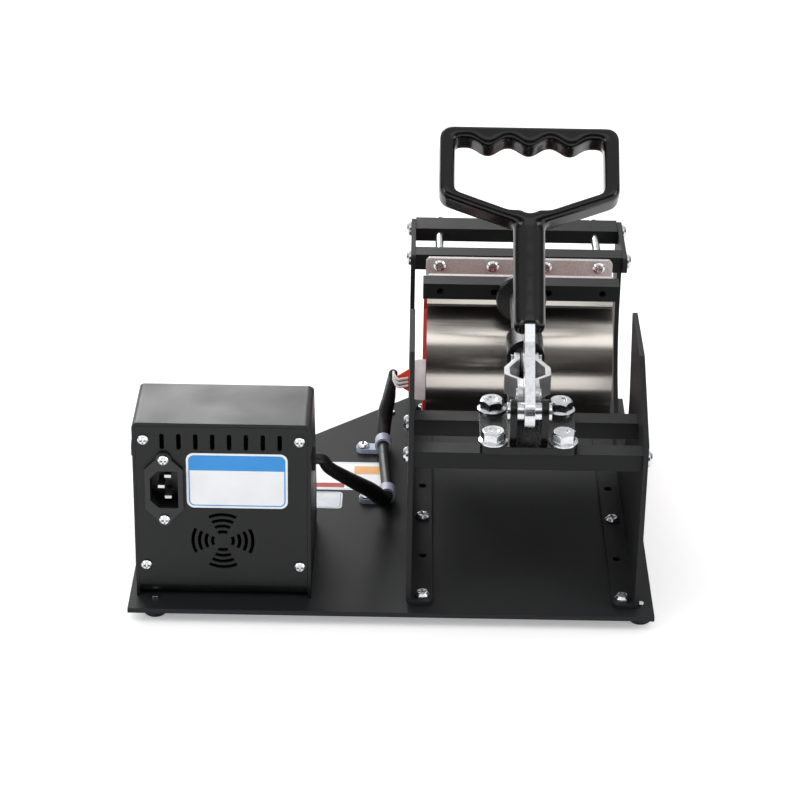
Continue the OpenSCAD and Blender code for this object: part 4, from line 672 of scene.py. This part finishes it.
def open_band(r, t, gap, up, bend=0.0, leave=0.0):
    """Outline of the open ring, outside first, then back along the inside.

    With up, the sheet leaves the ring at the angle leave from the top, runs on straight, and turns up through a bend
    into a flange that ends at z = up. Without it, the sheet's ends are cut upright at the gap.
    """
    steps = 88
    outside, inside = [], []
    cy, cz = BAND_AXIS
    if up:
        start = leave
        rise = (r + t + bend - (gap + t + bend) * math.sin(start)) / math.cos(start)
        for k in range(3):
            z = up + (cz + rise - up) * k / 3
            outside.append((-gap - t, z))
            inside.append((-gap, z))
        for k in range(9):
            a = (math.pi / 2 - start) * k / 8
            outside.append((-gap - t - bend + bend * math.cos(a), cz + rise - bend * math.sin(a)))
            inside.append((-gap - t - bend + (bend + t) * math.cos(a), cz + rise - (bend + t) * math.sin(a)))
    else:
        start = math.asin(gap / r)
    mirrored = [[(-y, z) for y, z in side[::-1]] for side in (outside, inside)]
    for k in range(steps + 1):
        a = -start - (2 * math.pi - 2 * start) * k / steps
        outside.append(((r + t) * math.sin(a), cz + (r + t) * math.cos(a)))
        inside.append((r * math.sin(a), cz + r * math.cos(a)))
    if not up:
        outside[0] = (-gap, cz + math.sqrt((r + t) ** 2 - gap ** 2))
        outside[-1] = (gap, outside[0][1])
    outside += mirrored[0]
    inside += mirrored[1]
    return [(cy + y, z) for y, z in outside + inside[::-1]]


class PRESS_OT_finishes(bpy.types.Operator):
    """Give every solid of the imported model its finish"""

    bl_idname = "press.finishes"
    bl_label = "Finishes"

    def execute(self, context):
        groups = {
            "sand": ["base_plate", "side_plate_left", "side_plate_right"],
            "smooth": ["box_shell", "box_rear_panel"],
            "satin": ["cross_bar_near", "cross_bar_far", "adjuster_bar", "fixed_band_bar", "moving_band_bar"],
            "casting": ["clamp_base", "pressure_disc"],
            "zinc": ["foot_screws", "side_plate_screws", "cross_bar_screws", "adjuster_screws", "clamp_bolts",
                     "lever_pivot_pin", "pivot_spacers", "lever_arm", "link_pin", "link_rivets",
                     "moving_strip_screws", "fixed_strip_screws", "clip_screws", "panel_screws", "inlet_screws"],
            "steel": ["toggle_link_left", "toggle_link_right", "plunger", "inlet_pins"],
            "strip": ["moving_band_strip", "fixed_band_strip"],
            "stainless": ["band_jacket"],
            "red_silicone": ["heater_mat"],
            "pale_silicone": ["terminal_tab"],
            "wire": ["heater_wires"],
            "cord": ["heater_cable"],
            "rubber": ["rubber_feet", "cable_grommet"],
            "grip": ["lever_handle"],
            "nylon": ["inlet_body", "fuse_holder", "fuse_cap", "rocker_bezel", "controller_bezel"],
            "clip": ["cable_clips"],
            "rocker": ["rocker_switch"],
            "button": ["power_button", "plus_button", "minus_button"],
            "window": ["display_window"],
            "board": ["control_board", "power_board"],
            "iron": ["transformer"],
        }
        given = {name for names in groups.values() for name in names}
        if given != set(NODES):
            raise RuntimeError(f"finishes and solids differ: {sorted(given ^ set(NODES))}")
        for material, names in groups.items():
            for name in names:
                slots = NODES[name].data.materials
                slots.clear()
                slots.append(finish(material))
        return {"FINISHED"}


class PRESS_OT_band(bpy.types.Operator):
    """Make the steel jacket and the silicone heating mat inside it"""

    bl_idname = "press.band"
    bl_label = "Heating band"

    def execute(self, context):
        s = sizes()
        r, t, gap = s.jacket_inner_radius / MM, s.jacket_thickness / MM, s.gap_half / MM
        half = s.jacket_length / MM / 2
        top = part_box("band_jacket")[1].z / MM
        # lengths along the mug, radius of the bend under the flange, and where the sheet leaves the ring
        n, bend, leave = 16, 3.0, math.radians(38)
        xs = [PRESS_X - half + 2 * half * k / n for k in range(n + 1)]
        jacket = swept("heating_band_jacket", open_band(r, t, gap, top, bend, leave), xs, "stainless")
        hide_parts("band_jacket")
        follows_band(jacket)
        # the mat shows on the left and ends 0.4 mm inside the jacket on the right
        left = PRESS_X - s.mat_length / MM / 2
        right = PRESS_X + half - 0.4
        xs = [left + (right - left) * k / n for k in range(n + 1)]
        mat = swept("heating_band_mat", open_band(s.mat_inner_radius / MM, s.mat_thickness / MM, gap, 0), xs,
                    "red_silicone")
        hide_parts("heater_mat")
        follows_band(mat)
        return {"FINISHED"}


class PRESS_OT_grip(bpy.types.Operator):
    """Mould the grip: the solid's shape with soft fillets where its limbs meet"""

    bl_idname = "press.grip"
    bl_label = "Grip"

    def execute(self, context):
        grip = NODES["lever_handle"].copy()
        grip.data = grip.data.copy()
        grip.name = "moulded_grip"
        grip.parent = None
        for key in list(grip.keys()):
            del grip[key]
        context.scene.collection.objects.link(grip)
        weld = grip.modifiers.new("weld", "WELD")
        weld.merge_threshold = 0.02 * MM
        # fine enough for the finger grooves, then relaxed to soften their crests
        remesh = grip.modifiers.new("remesh", "REMESH")
        remesh.mode, remesh.voxel_size = "VOXEL", 0.9 * MM
        relax = grip.modifiers.new("relax", "CORRECTIVE_SMOOTH")
        relax.use_only_smooth, relax.factor, relax.iterations = True, 0.5, 16
        context.view_layer.update()
        shape = bpy.data.meshes.new_from_object(grip.evaluated_get(context.evaluated_depsgraph_get()))
        grip.modifiers.clear()
        grip.data = shape
        shape.shade_smooth()
        shape.materials.clear()
        shape.materials.append(finish("grip"))
        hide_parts("lever_handle")
        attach(grip, "lever")
        return {"FINISHED"}


class PRESS_OT_outlet(bpy.types.Operator):
    """Make the pale tab of the mat and the wires that leave it"""

    bl_idname = "press.outlet"
    bl_label = "Mat outlet"

    def execute(self, context):
        s = sizes()
        cy, cz = BAND_AXIS
        r = (s.mat_inner_radius + s.mat_thickness) / MM
        low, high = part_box("terminal_tab")
        x0, x1 = high.x / MM, low.x / MM
        # it starts 0.2 mm to the left of the jacket
        cover = PRESS_X - s.jacket_length / MM / 2 - 0.2
        # half its width and the turn of its middle, in radians about the band's axis, and shares of its width along it
        half_turn, turned = math.radians(18.5), 0.1
        ends = [(cover, 1.0), (x0 - 3, 0.99), (x0 - 6.5, 0.93), (x0 - 7.5, 0.62), (x0 - 10, 0.5),
                (x0 - 13, 0.36), (x0 - 15.5, 0.25), (x1 + 0.1, 0.2)]
        verts = []
        steps = 14
        # its face stands 0.09 mm clear of the mat's, its back lies inside the mat
        for depth in (-0.09, 2.15):
            for x, share in ends:
                for k in range(steps + 1):
                    a = half_turn * share * (2 * k / steps - 1)
                    rr = r - depth
                    verts.append((x, cy - rr * math.cos(a + turned), cz + rr * math.sin(a + turned)))
        # corners along the width, along the length and from the face to the back, and the quads between them
        n, m = steps + 1, len(ends)
        through = n * m
        quads = [(side * through + i * n + k, 1, n) for side in (0, 1) for i in range(m - 1) for k in range(steps)]
        quads += [(i * n + k, n, through) for i in range(m - 1) for k in (0, steps)]
        quads += [(i * n + k, 1, through) for i in (0, m - 1) for k in range(steps)]
        faces = [(a, a + p, a + p + q, a + q) for a, p, q in quads]
        tab = solid("mat_outlet_tab", verts, faces, "red_tab")
        # the stretch next to the band is covered by pale silicone
        pale = 6.6
        tab.data.materials.append(finish("pale_silicone"))
        for face in tab.data.polygons:
            if face.center.x > (x0 - pale) * MM:
                face.material_index = 1
        soft = tab.modifiers.new("soft", "BEVEL")
        soft.width, soft.segments, soft.limit_method = 0.4 * MM, 2, "ANGLE"
        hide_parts("terminal_tab")
        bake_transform(tab)
        # three wires from the tab's tip into the sleeve
        wires = []
        w, apart = s.wire_radius / MM, 2.6
        for k in (-1, 0, 1):
            # each wire leaves the sleeve's end, crosses to the tab and lies on its face
            lie = [(x1 + d, cy - math.sqrt((r + w + 0.05) ** 2 - (apart * k + lift) ** 2), cz + apart * k + lift)
                   for d, lift in ((1.0, 3.2), (4.2, 3.6), (7.5, 4.2))]
            start = (-1.3, 24.4 - 0.4 * abs(k), 86.8 + 1.3 * k)
            middle = (-0.9, (lie[0][1] + start[1]) / 2 - 1.0, (lie[0][2] + start[2]) / 2 + 0.8)
            wires.append(tube(f"heater_wire_{k + 1}", [p + (w,) for p in (start, middle, *lie)], 12, "wire"))
        bundle = joined("heater_lead_wires", wires)
        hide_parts("heater_wires")
        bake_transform(bundle)
        return {"FINISHED"}


class PRESS_OT_cable(bpy.types.Operator):
    """Make the heater's cord with its two shrunk sleeves, from the box over the base to the band"""

    bl_idname = "press.cable"
    bl_label = "Heater cable"

    def execute(self, context):
        from_box = (-48.55, -100.5, 90.5)
        foot = (8.75, -136.5, DECK)
        tip = (0.7, BAND_AXIS[0], BAND_AXIS[1])

        def route(start, *steps):
            return [(start[0] + a, start[1] + b, start[2] + c, r) for a, b, c, r in steps]

        near = route(from_box, (-9.5, 0, 0, 3.5), (-3.5, 0, 0, 3.5), (2, 0, 0, 3.5), (6, 2, -2, 3.6),
                     (10, 11, -12.5, 3.95), (22, 29, -30, 4.45))
        near += route(foot, (-23.5, 89, 30, 5.0), (-18, 103.5, 17.5, 5.2), (-15.2, 112, 10.8, 5.0))
        sleeve = tube("box_cable_sleeve", near, 28, "sleeve", 8, 0.012)
        cord_r = sizes().cord_radius / MM
        middle = route(foot, (-15.6, 109.5, 12.6, cord_r - 0.4), (-14.2, 116.5, 8.4, cord_r),
                       (-13.2, 121.5, 6.2, cord_r), (-13, 129, 6, cord_r), (-13.2, 136.5, 5.9, cord_r),
                       (-14.5, 157, 5.4, cord_r), (-15.8, 179, 5.5, cord_r), (-16.2, 190.5, 5.9, cord_r),
                       (-16.3, 198, 6, cord_r), (-16.2, 205.5, 6.4, cord_r), (-16.05, 211.5, 11.5, cord_r))
        cord = tube("clipped_heater_cord", middle, 24, "cord", 8)
        last = route(foot, (-16.25, 206.6, 6.9, 4.2), (-16.0, 212.2, 13.5, 4.75), (-15, 214.5, 22.5, 4.95))
        last += route(tip, (-5.2, 14, -38, 4.4), (-4, -1.5, -21.5, 3.6), (-2.8, -21.5, -4.5, 3.1),
                      (-2.2, -35, 5, 2.9))
        far = tube("band_cable_sleeve", last, 28, "sleeve", 8, 0.012)
        for piece in (sleeve, cord, far):
            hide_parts("heater_cable")
        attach(sleeve, "frame")
        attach(cord, "frame")
        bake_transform(far)
        return {"FINISHED"}


class PRESS_OT_labels(bpy.types.Operator):
    """Lay the bare printed plate on the rear panel and the two stickers on the base"""

    bl_idname = "press.labels"
    bl_label = "Plate and stickers"

    def execute(self, context):
        s = sizes()
        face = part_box("box_rear_panel")[0].y / MM
        # the plate's middle, from the box's left side and from the base's top
        cx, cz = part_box("box_shell")[0].x / MM + 61.55, DECK + 79.65

        def on_panel(u, v, w):
            return (cx + u, face - w, cz + v)

        width, height = s.label_width / MM, s.label_height / MM
        outline = round_plate(width, height, 4.5)
        top = height / 2
        # the header takes the top of the plate
        split = top - 11.4
        frame_out = round_plate(width - 2.6, height - 2.6, 3.6)
        frame_in = round_plate(width - 4.0, height - 4.0, 2.9)
        header = [p for p in frame_out if p[1] > split]
        header += [(-(width - 2.6) / 2, split), ((width - 2.6) / 2, split)]
        # its corners in order round a point inside it
        header = sorted(header, key=lambda p: math.atan2(p[1] - (top - 5.3), p[0]))
        plate = joined("rear_plate", [
            layer("plate_body", outline, on_panel, SUNK, 0.16, "vinyl"),
            layer("plate_header", header, on_panel, 0.16, 0.2, "header"),
            ring_layer("plate_keyline", frame_out, frame_in, on_panel, 0.16, 0.19, "header")])
        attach(plate, "frame")

        def on_base(mx, my):
            return lambda u, v, w: (mx + u, my + v, DECK + w)

        wide = on_base(-30.25, 25.5)
        white = joined("base_sticker", [
            layer("sticker_body", round_plate(47.5, 38, 1.5), wide, SUNK, 0.14, "vinyl"),
            layer("sticker_amber", [(u + 12.5, v + 8) for u, v in round_plate(17, 11, 0.8)], wide, 0.14, 0.17,
                  "amber"),
            layer("sticker_red", [(u - 12, v - 13) for u, v in round_plate(20, 6, 0.8)], wide, 0.14, 0.17,
                  "red_silicone"),
            ring_layer("sticker_line", round_plate(45, 35.5, 1.2), round_plate(44.2, 34.7, 1.0), wide, 0.14,
                       0.17, "keyline")])
        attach(white, "frame")
        small = on_base(-43.5, -7.5)
        silver = joined("base_silver_sticker", [
            layer("silver_body", round_plate(21, 22, 3), small, SUNK, 0.14, "silver"),
            ring_layer("silver_line", round_plate(18.6, 19.6, 2.2), round_plate(18.0, 19.0, 1.9), small, 0.14,
                       0.17, "ink")])
        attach(silver, "frame")
        return {"FINISHED"}


def on_controller(centre, shift=0.0, lean=0.0):
    """Makes points on the controller's panel from (across, up, out) in millimetres about a centre in metres."""
    def placed(u, v, w):
        return tuple((centre + (PANEL_RIGHT * (shift + u + lean * v) + PANEL_UP * v + PANEL_OUT * w) * MM) / MM)

    return placed


class PRESS_OT_marks(bpy.types.Operator):
    """Print a plus, a minus and a power sign on the keys"""

    bl_idname = "press.marks"
    bl_label = "Key marks"

    def execute(self, context):
        # width and length of the signs' bars
        stroke, reach = 0.8, 4.6
        for name, body in (("plus_button", "button_plus"), ("minus_button", "button_minus"),
                           ("power_button", "button_power")):
            points = [v.co for v in NODES[name].data.vertices]
            face = max(p.dot(PANEL_OUT) for p in points)
            top = [p for p in points if p.dot(PANEL_OUT) > face - 0.05 * MM]
            centre = sum(top, Vector()) / len(top)
            centre += PANEL_OUT * (face - centre.dot(PANEL_OUT))
            placed = on_controller(centre)
            if name == "power_button":
                parts = [ring_layer("mark_ring", round_plate(4.4, 4.4, 2.2), round_plate(3.4, 3.4, 1.7), placed,
                                    SUNK, 0.06, "ink"),
                         layer("mark_bar", round_plate(0.7, 2.6, 0.3), placed, SUNK, 0.08, "ink")]
            else:
                parts = [layer("mark_bar", round_plate(reach, stroke, 0.3), placed, SUNK, 0.06, "ink")]
                if name == "plus_button":
                    parts.append(layer("mark_upright", round_plate(stroke, reach, 0.3), placed, SUNK, 0.08, "ink"))
            mark = joined(name + "_mark", parts)
            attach(mark, body)
        return {"FINISHED"}


class PRESS_OT_digits(bpy.types.Operator):
    """Light two numbers on the display as seven-segment digits"""

    bl_idname = "press.digits"
    bl_label = "Display digits"

    def execute(self, context):
        face = max(v.co.dot(PANEL_OUT) for v in NODES["display_window"].data.vertices)
        low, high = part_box("display_window")
        middle = (low + high) / 2
        middle += PANEL_OUT * (face - middle.dot(PANEL_OUT))
        # size of a digit, width of a bar, slant of the uprights, and what each bar leaves free at a corner
        w, h, bar, lean, free = 4.6, 8.4, 0.95, 0.12, 0.5
        # ends of each bar in halves of a digit, lettered clockwise from the top with the middle one last
        bars = {"a": ((-1, 1), (1, 1)), "b": ((1, 1), (1, 0)), "c": ((1, 0), (1, -1)), "d": ((-1, -1), (1, -1)),
                "e": ((-1, -1), (-1, 0)), "f": ((-1, 0), (-1, 1)), "g": ((-1, 0), (1, 0))}
        lit = {"1": "bc", "8": "abcdefg", "0": "abcdef", "2": "abged", "4": "fgbc"}
        parts = []
        for place, digit in ((-15.5, "1"), (-9.0, "8"), (-2.5, "0"), (7.5, "2"), (14.0, "4")):
            placed = on_controller(middle, place, lean)
            for key in lit[digit]:
                a, b = [Vector((x * w / 2, y * h / 2)) for x, y in bars[key]]
                run = (b - a).normalized()
                a, b = a + run * free, b - run * free
                side = Vector((-run.y, run.x)) * bar / 2
                tip = run * bar / 2
                ring = [a, a + tip + side, b - tip + side, b, b - tip - side, a + tip - side]
                parts.append(layer("digit_" + key, [(q.x, q.y) for q in ring], placed, SUNK, 0.05, "digit"))
        digits = joined("display_digits", parts)
        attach(digits, "frame")
        return {"FINISHED"}


class PRESS_OT_stage(bpy.types.Operator):
    """Set the floor, the soft lights, the world and the camera"""

    bl_idname = "press.stage"
    bl_label = "Stage"

    def execute(self, context):
        scene = context.scene
        stage = scene.press_stage
        scene.view_settings.view_transform = "Standard"

        # plain paper floor
        edge = 4000
        floor = solid("studio_floor", [(-edge, -edge, 0), (edge, -edge, 0), (edge, edge, 0), (-edge, edge, 0)],
                      [(0, 1, 2, 3)], "floor", smooth=False)

        # world: a white ceiling that runs down behind the object, and a dimmer room behind the camera;
        # the levels go from low down behind the camera to high up behind the object
        world = bpy.data.worlds.new("studio_room")
        scene.world = world
        world.use_nodes = True
        tree = world.node_tree
        tree.nodes.clear()
        # the ceiling leans back
        overhead = (0, 0.42, 0.91)
        tilt = node(tree, "ShaderNodeVectorMath",
                    {0: node(tree, "ShaderNodeTexCoord").outputs["Generated"], 1: overhead},
                    operation="DOT_PRODUCT").outputs["Value"]
        height = node(tree, "ShaderNodeMapRange", {"Value": tilt, "From Min": -0.5, "From Max": 1.0}).outputs[0]
        room, mirrored = [node(tree, "ShaderNodeValToRGB", {"Fac": height}, [
            (place, (level, level, level, 1)) for place, level in stops]).outputs["Color"] for stops in (
                ((0.0, 0.16), (0.33, 0.16), (0.57, 0.2), (0.67, 0.8), (1.0, 0.85)),
                ((0.0, 0.01), (0.18, 0.01), (0.3, 0.05), (0.47, 0.15), (0.57, 0.21), (0.67, 0.78), (1.0, 0.8)))]
        rays = node(tree, "ShaderNodeLightPath").outputs
        # the background is white to the camera, and seen through glass; reflections see the white ceiling
        seen = node(tree, "ShaderNodeMath", {0: rays["Is Camera Ray"], 1: rays["Is Transmission Ray"]},
                    operation="MAXIMUM").outputs[0]
        glossy = node(tree, "ShaderNodeMix", {0: rays["Is Glossy Ray"], 6: room, 7: mirrored},
                      data_type="RGBA").outputs[2]
        colour = node(tree, "ShaderNodeMix", {0: seen, 6: glossy, 7: (1, 1, 1, 1)}, data_type="RGBA").outputs[2]
        back = node(tree, "ShaderNodeBackground", {"Color": colour, "Strength": 1.0}).outputs[0]
        node(tree, "ShaderNodeOutputWorld", {"Surface": back})

        for name, place, target, width, height, watts in (
                ("front_softbox", (0.05, -0.8, 1.45), (0.03, 0, 0.1), 1.8, 0.6, stage.key_watts),
                ("back_softbox", (-0.75, 1.9, 1.15), (0, 0, 0.1), 1.4, 0.8, stage.back_watts),
                ("left_softbox", (-1.5, -0.9, 0.8), (0, 0, 0.12), 0.8, 1.1, stage.fill_watts),
                ("right_softbox", (1.6, -0.8, 0.8), (0, 0, 0.12), 0.8, 1.1, stage.fill_watts)):
            lamp = bpy.data.lights.new(name, "AREA")
            lamp.shape, lamp.size, lamp.size_y, lamp.energy = "RECTANGLE", width, height, watts
            holder = bpy.data.objects.new(name, lamp)
            scene.collection.objects.link(holder)
            holder.location = place
            holder.rotation_euler = (Vector(target) - Vector(place)).to_track_quat("-Z", "Y").to_euler()
            holder.visible_camera = False

        # camera at the photograph's angle
        camera = bpy.data.cameras.new("photo_camera")
        camera.lens, camera.sensor_width, camera.sensor_fit = stage.lens, 36.0, "HORIZONTAL"
        camera.clip_start, camera.clip_end = 0.05, 20
        holder = bpy.data.objects.new("photo_camera", camera)
        scene.collection.objects.link(holder)
        a, e, roll = stage.pan, stage.tilt, stage.roll
        ahead = Vector((math.sin(a) * math.cos(e), math.cos(a) * math.cos(e), -math.sin(e)))
        right = Vector((math.cos(a), -math.sin(a), 0))
        up = right.cross(ahead)
        across = math.cos(roll) * right + math.sin(roll) * up
        above = -math.sin(roll) * right + math.cos(roll) * up
        turn = Matrix((across, above, -ahead)).transposed().to_4x4()
        holder.matrix_world = Matrix.Translation(Vector(stage.place)) @ turn
        scene.camera = holder
        return {"FINISHED"}


class PRESS_PT_panel(bpy.types.Panel):
    """Panel that lists the steps and their sizes"""

    bl_idname = "PRESS_PT_panel"
    bl_label = "Mug Press"
    bl_space_type = "VIEW_3D"
    bl_region_type = "UI"
    bl_category = "Mug Press"

    def draw(self, context):
        layout = self.layout
        for step in STEPS:
            layout.operator(step.bl_idname, text=step.bl_label)
        for title, group in (("Sizes", context.scene.press_sizes), ("Colours", context.scene.press_colours),
                             ("Stage", context.scene.press_stage)):
            box = layout.box()
            box.label(text=title)
            for key in group.bl_rna.properties.keys():
                if key not in ("rna_type", "name"):
                    box.prop(group, key)


STEPS = (PRESS_OT_stage, PRESS_OT_finishes, PRESS_OT_grip, PRESS_OT_band, PRESS_OT_outlet, PRESS_OT_cable,
         PRESS_OT_labels, PRESS_OT_marks, PRESS_OT_digits)
CLASSES = (PressSizes, PressColours, StageSettings) + STEPS + (PRESS_PT_panel,)


def register():
    for cls in CLASSES:
        bpy.utils.register_class(cls)
    bpy.types.Scene.press_sizes = PointerProperty(type=PressSizes)
    bpy.types.Scene.press_colours = PointerProperty(type=PressColours)
    bpy.types.Scene.press_stage = PointerProperty(type=StageSettings)


def unregister():
    for name in ("press_stage", "press_colours", "press_sizes"):
        delattr(bpy.types.Scene, name)
    for cls in reversed(CLASSES):
        bpy.utils.unregister_class(cls)


def main():
    register()
    for step in STEPS:
        group, name = step.bl_idname.split(".")
        getattr(getattr(bpy.ops, group), name)()


if __name__ == "__main__":
    main()
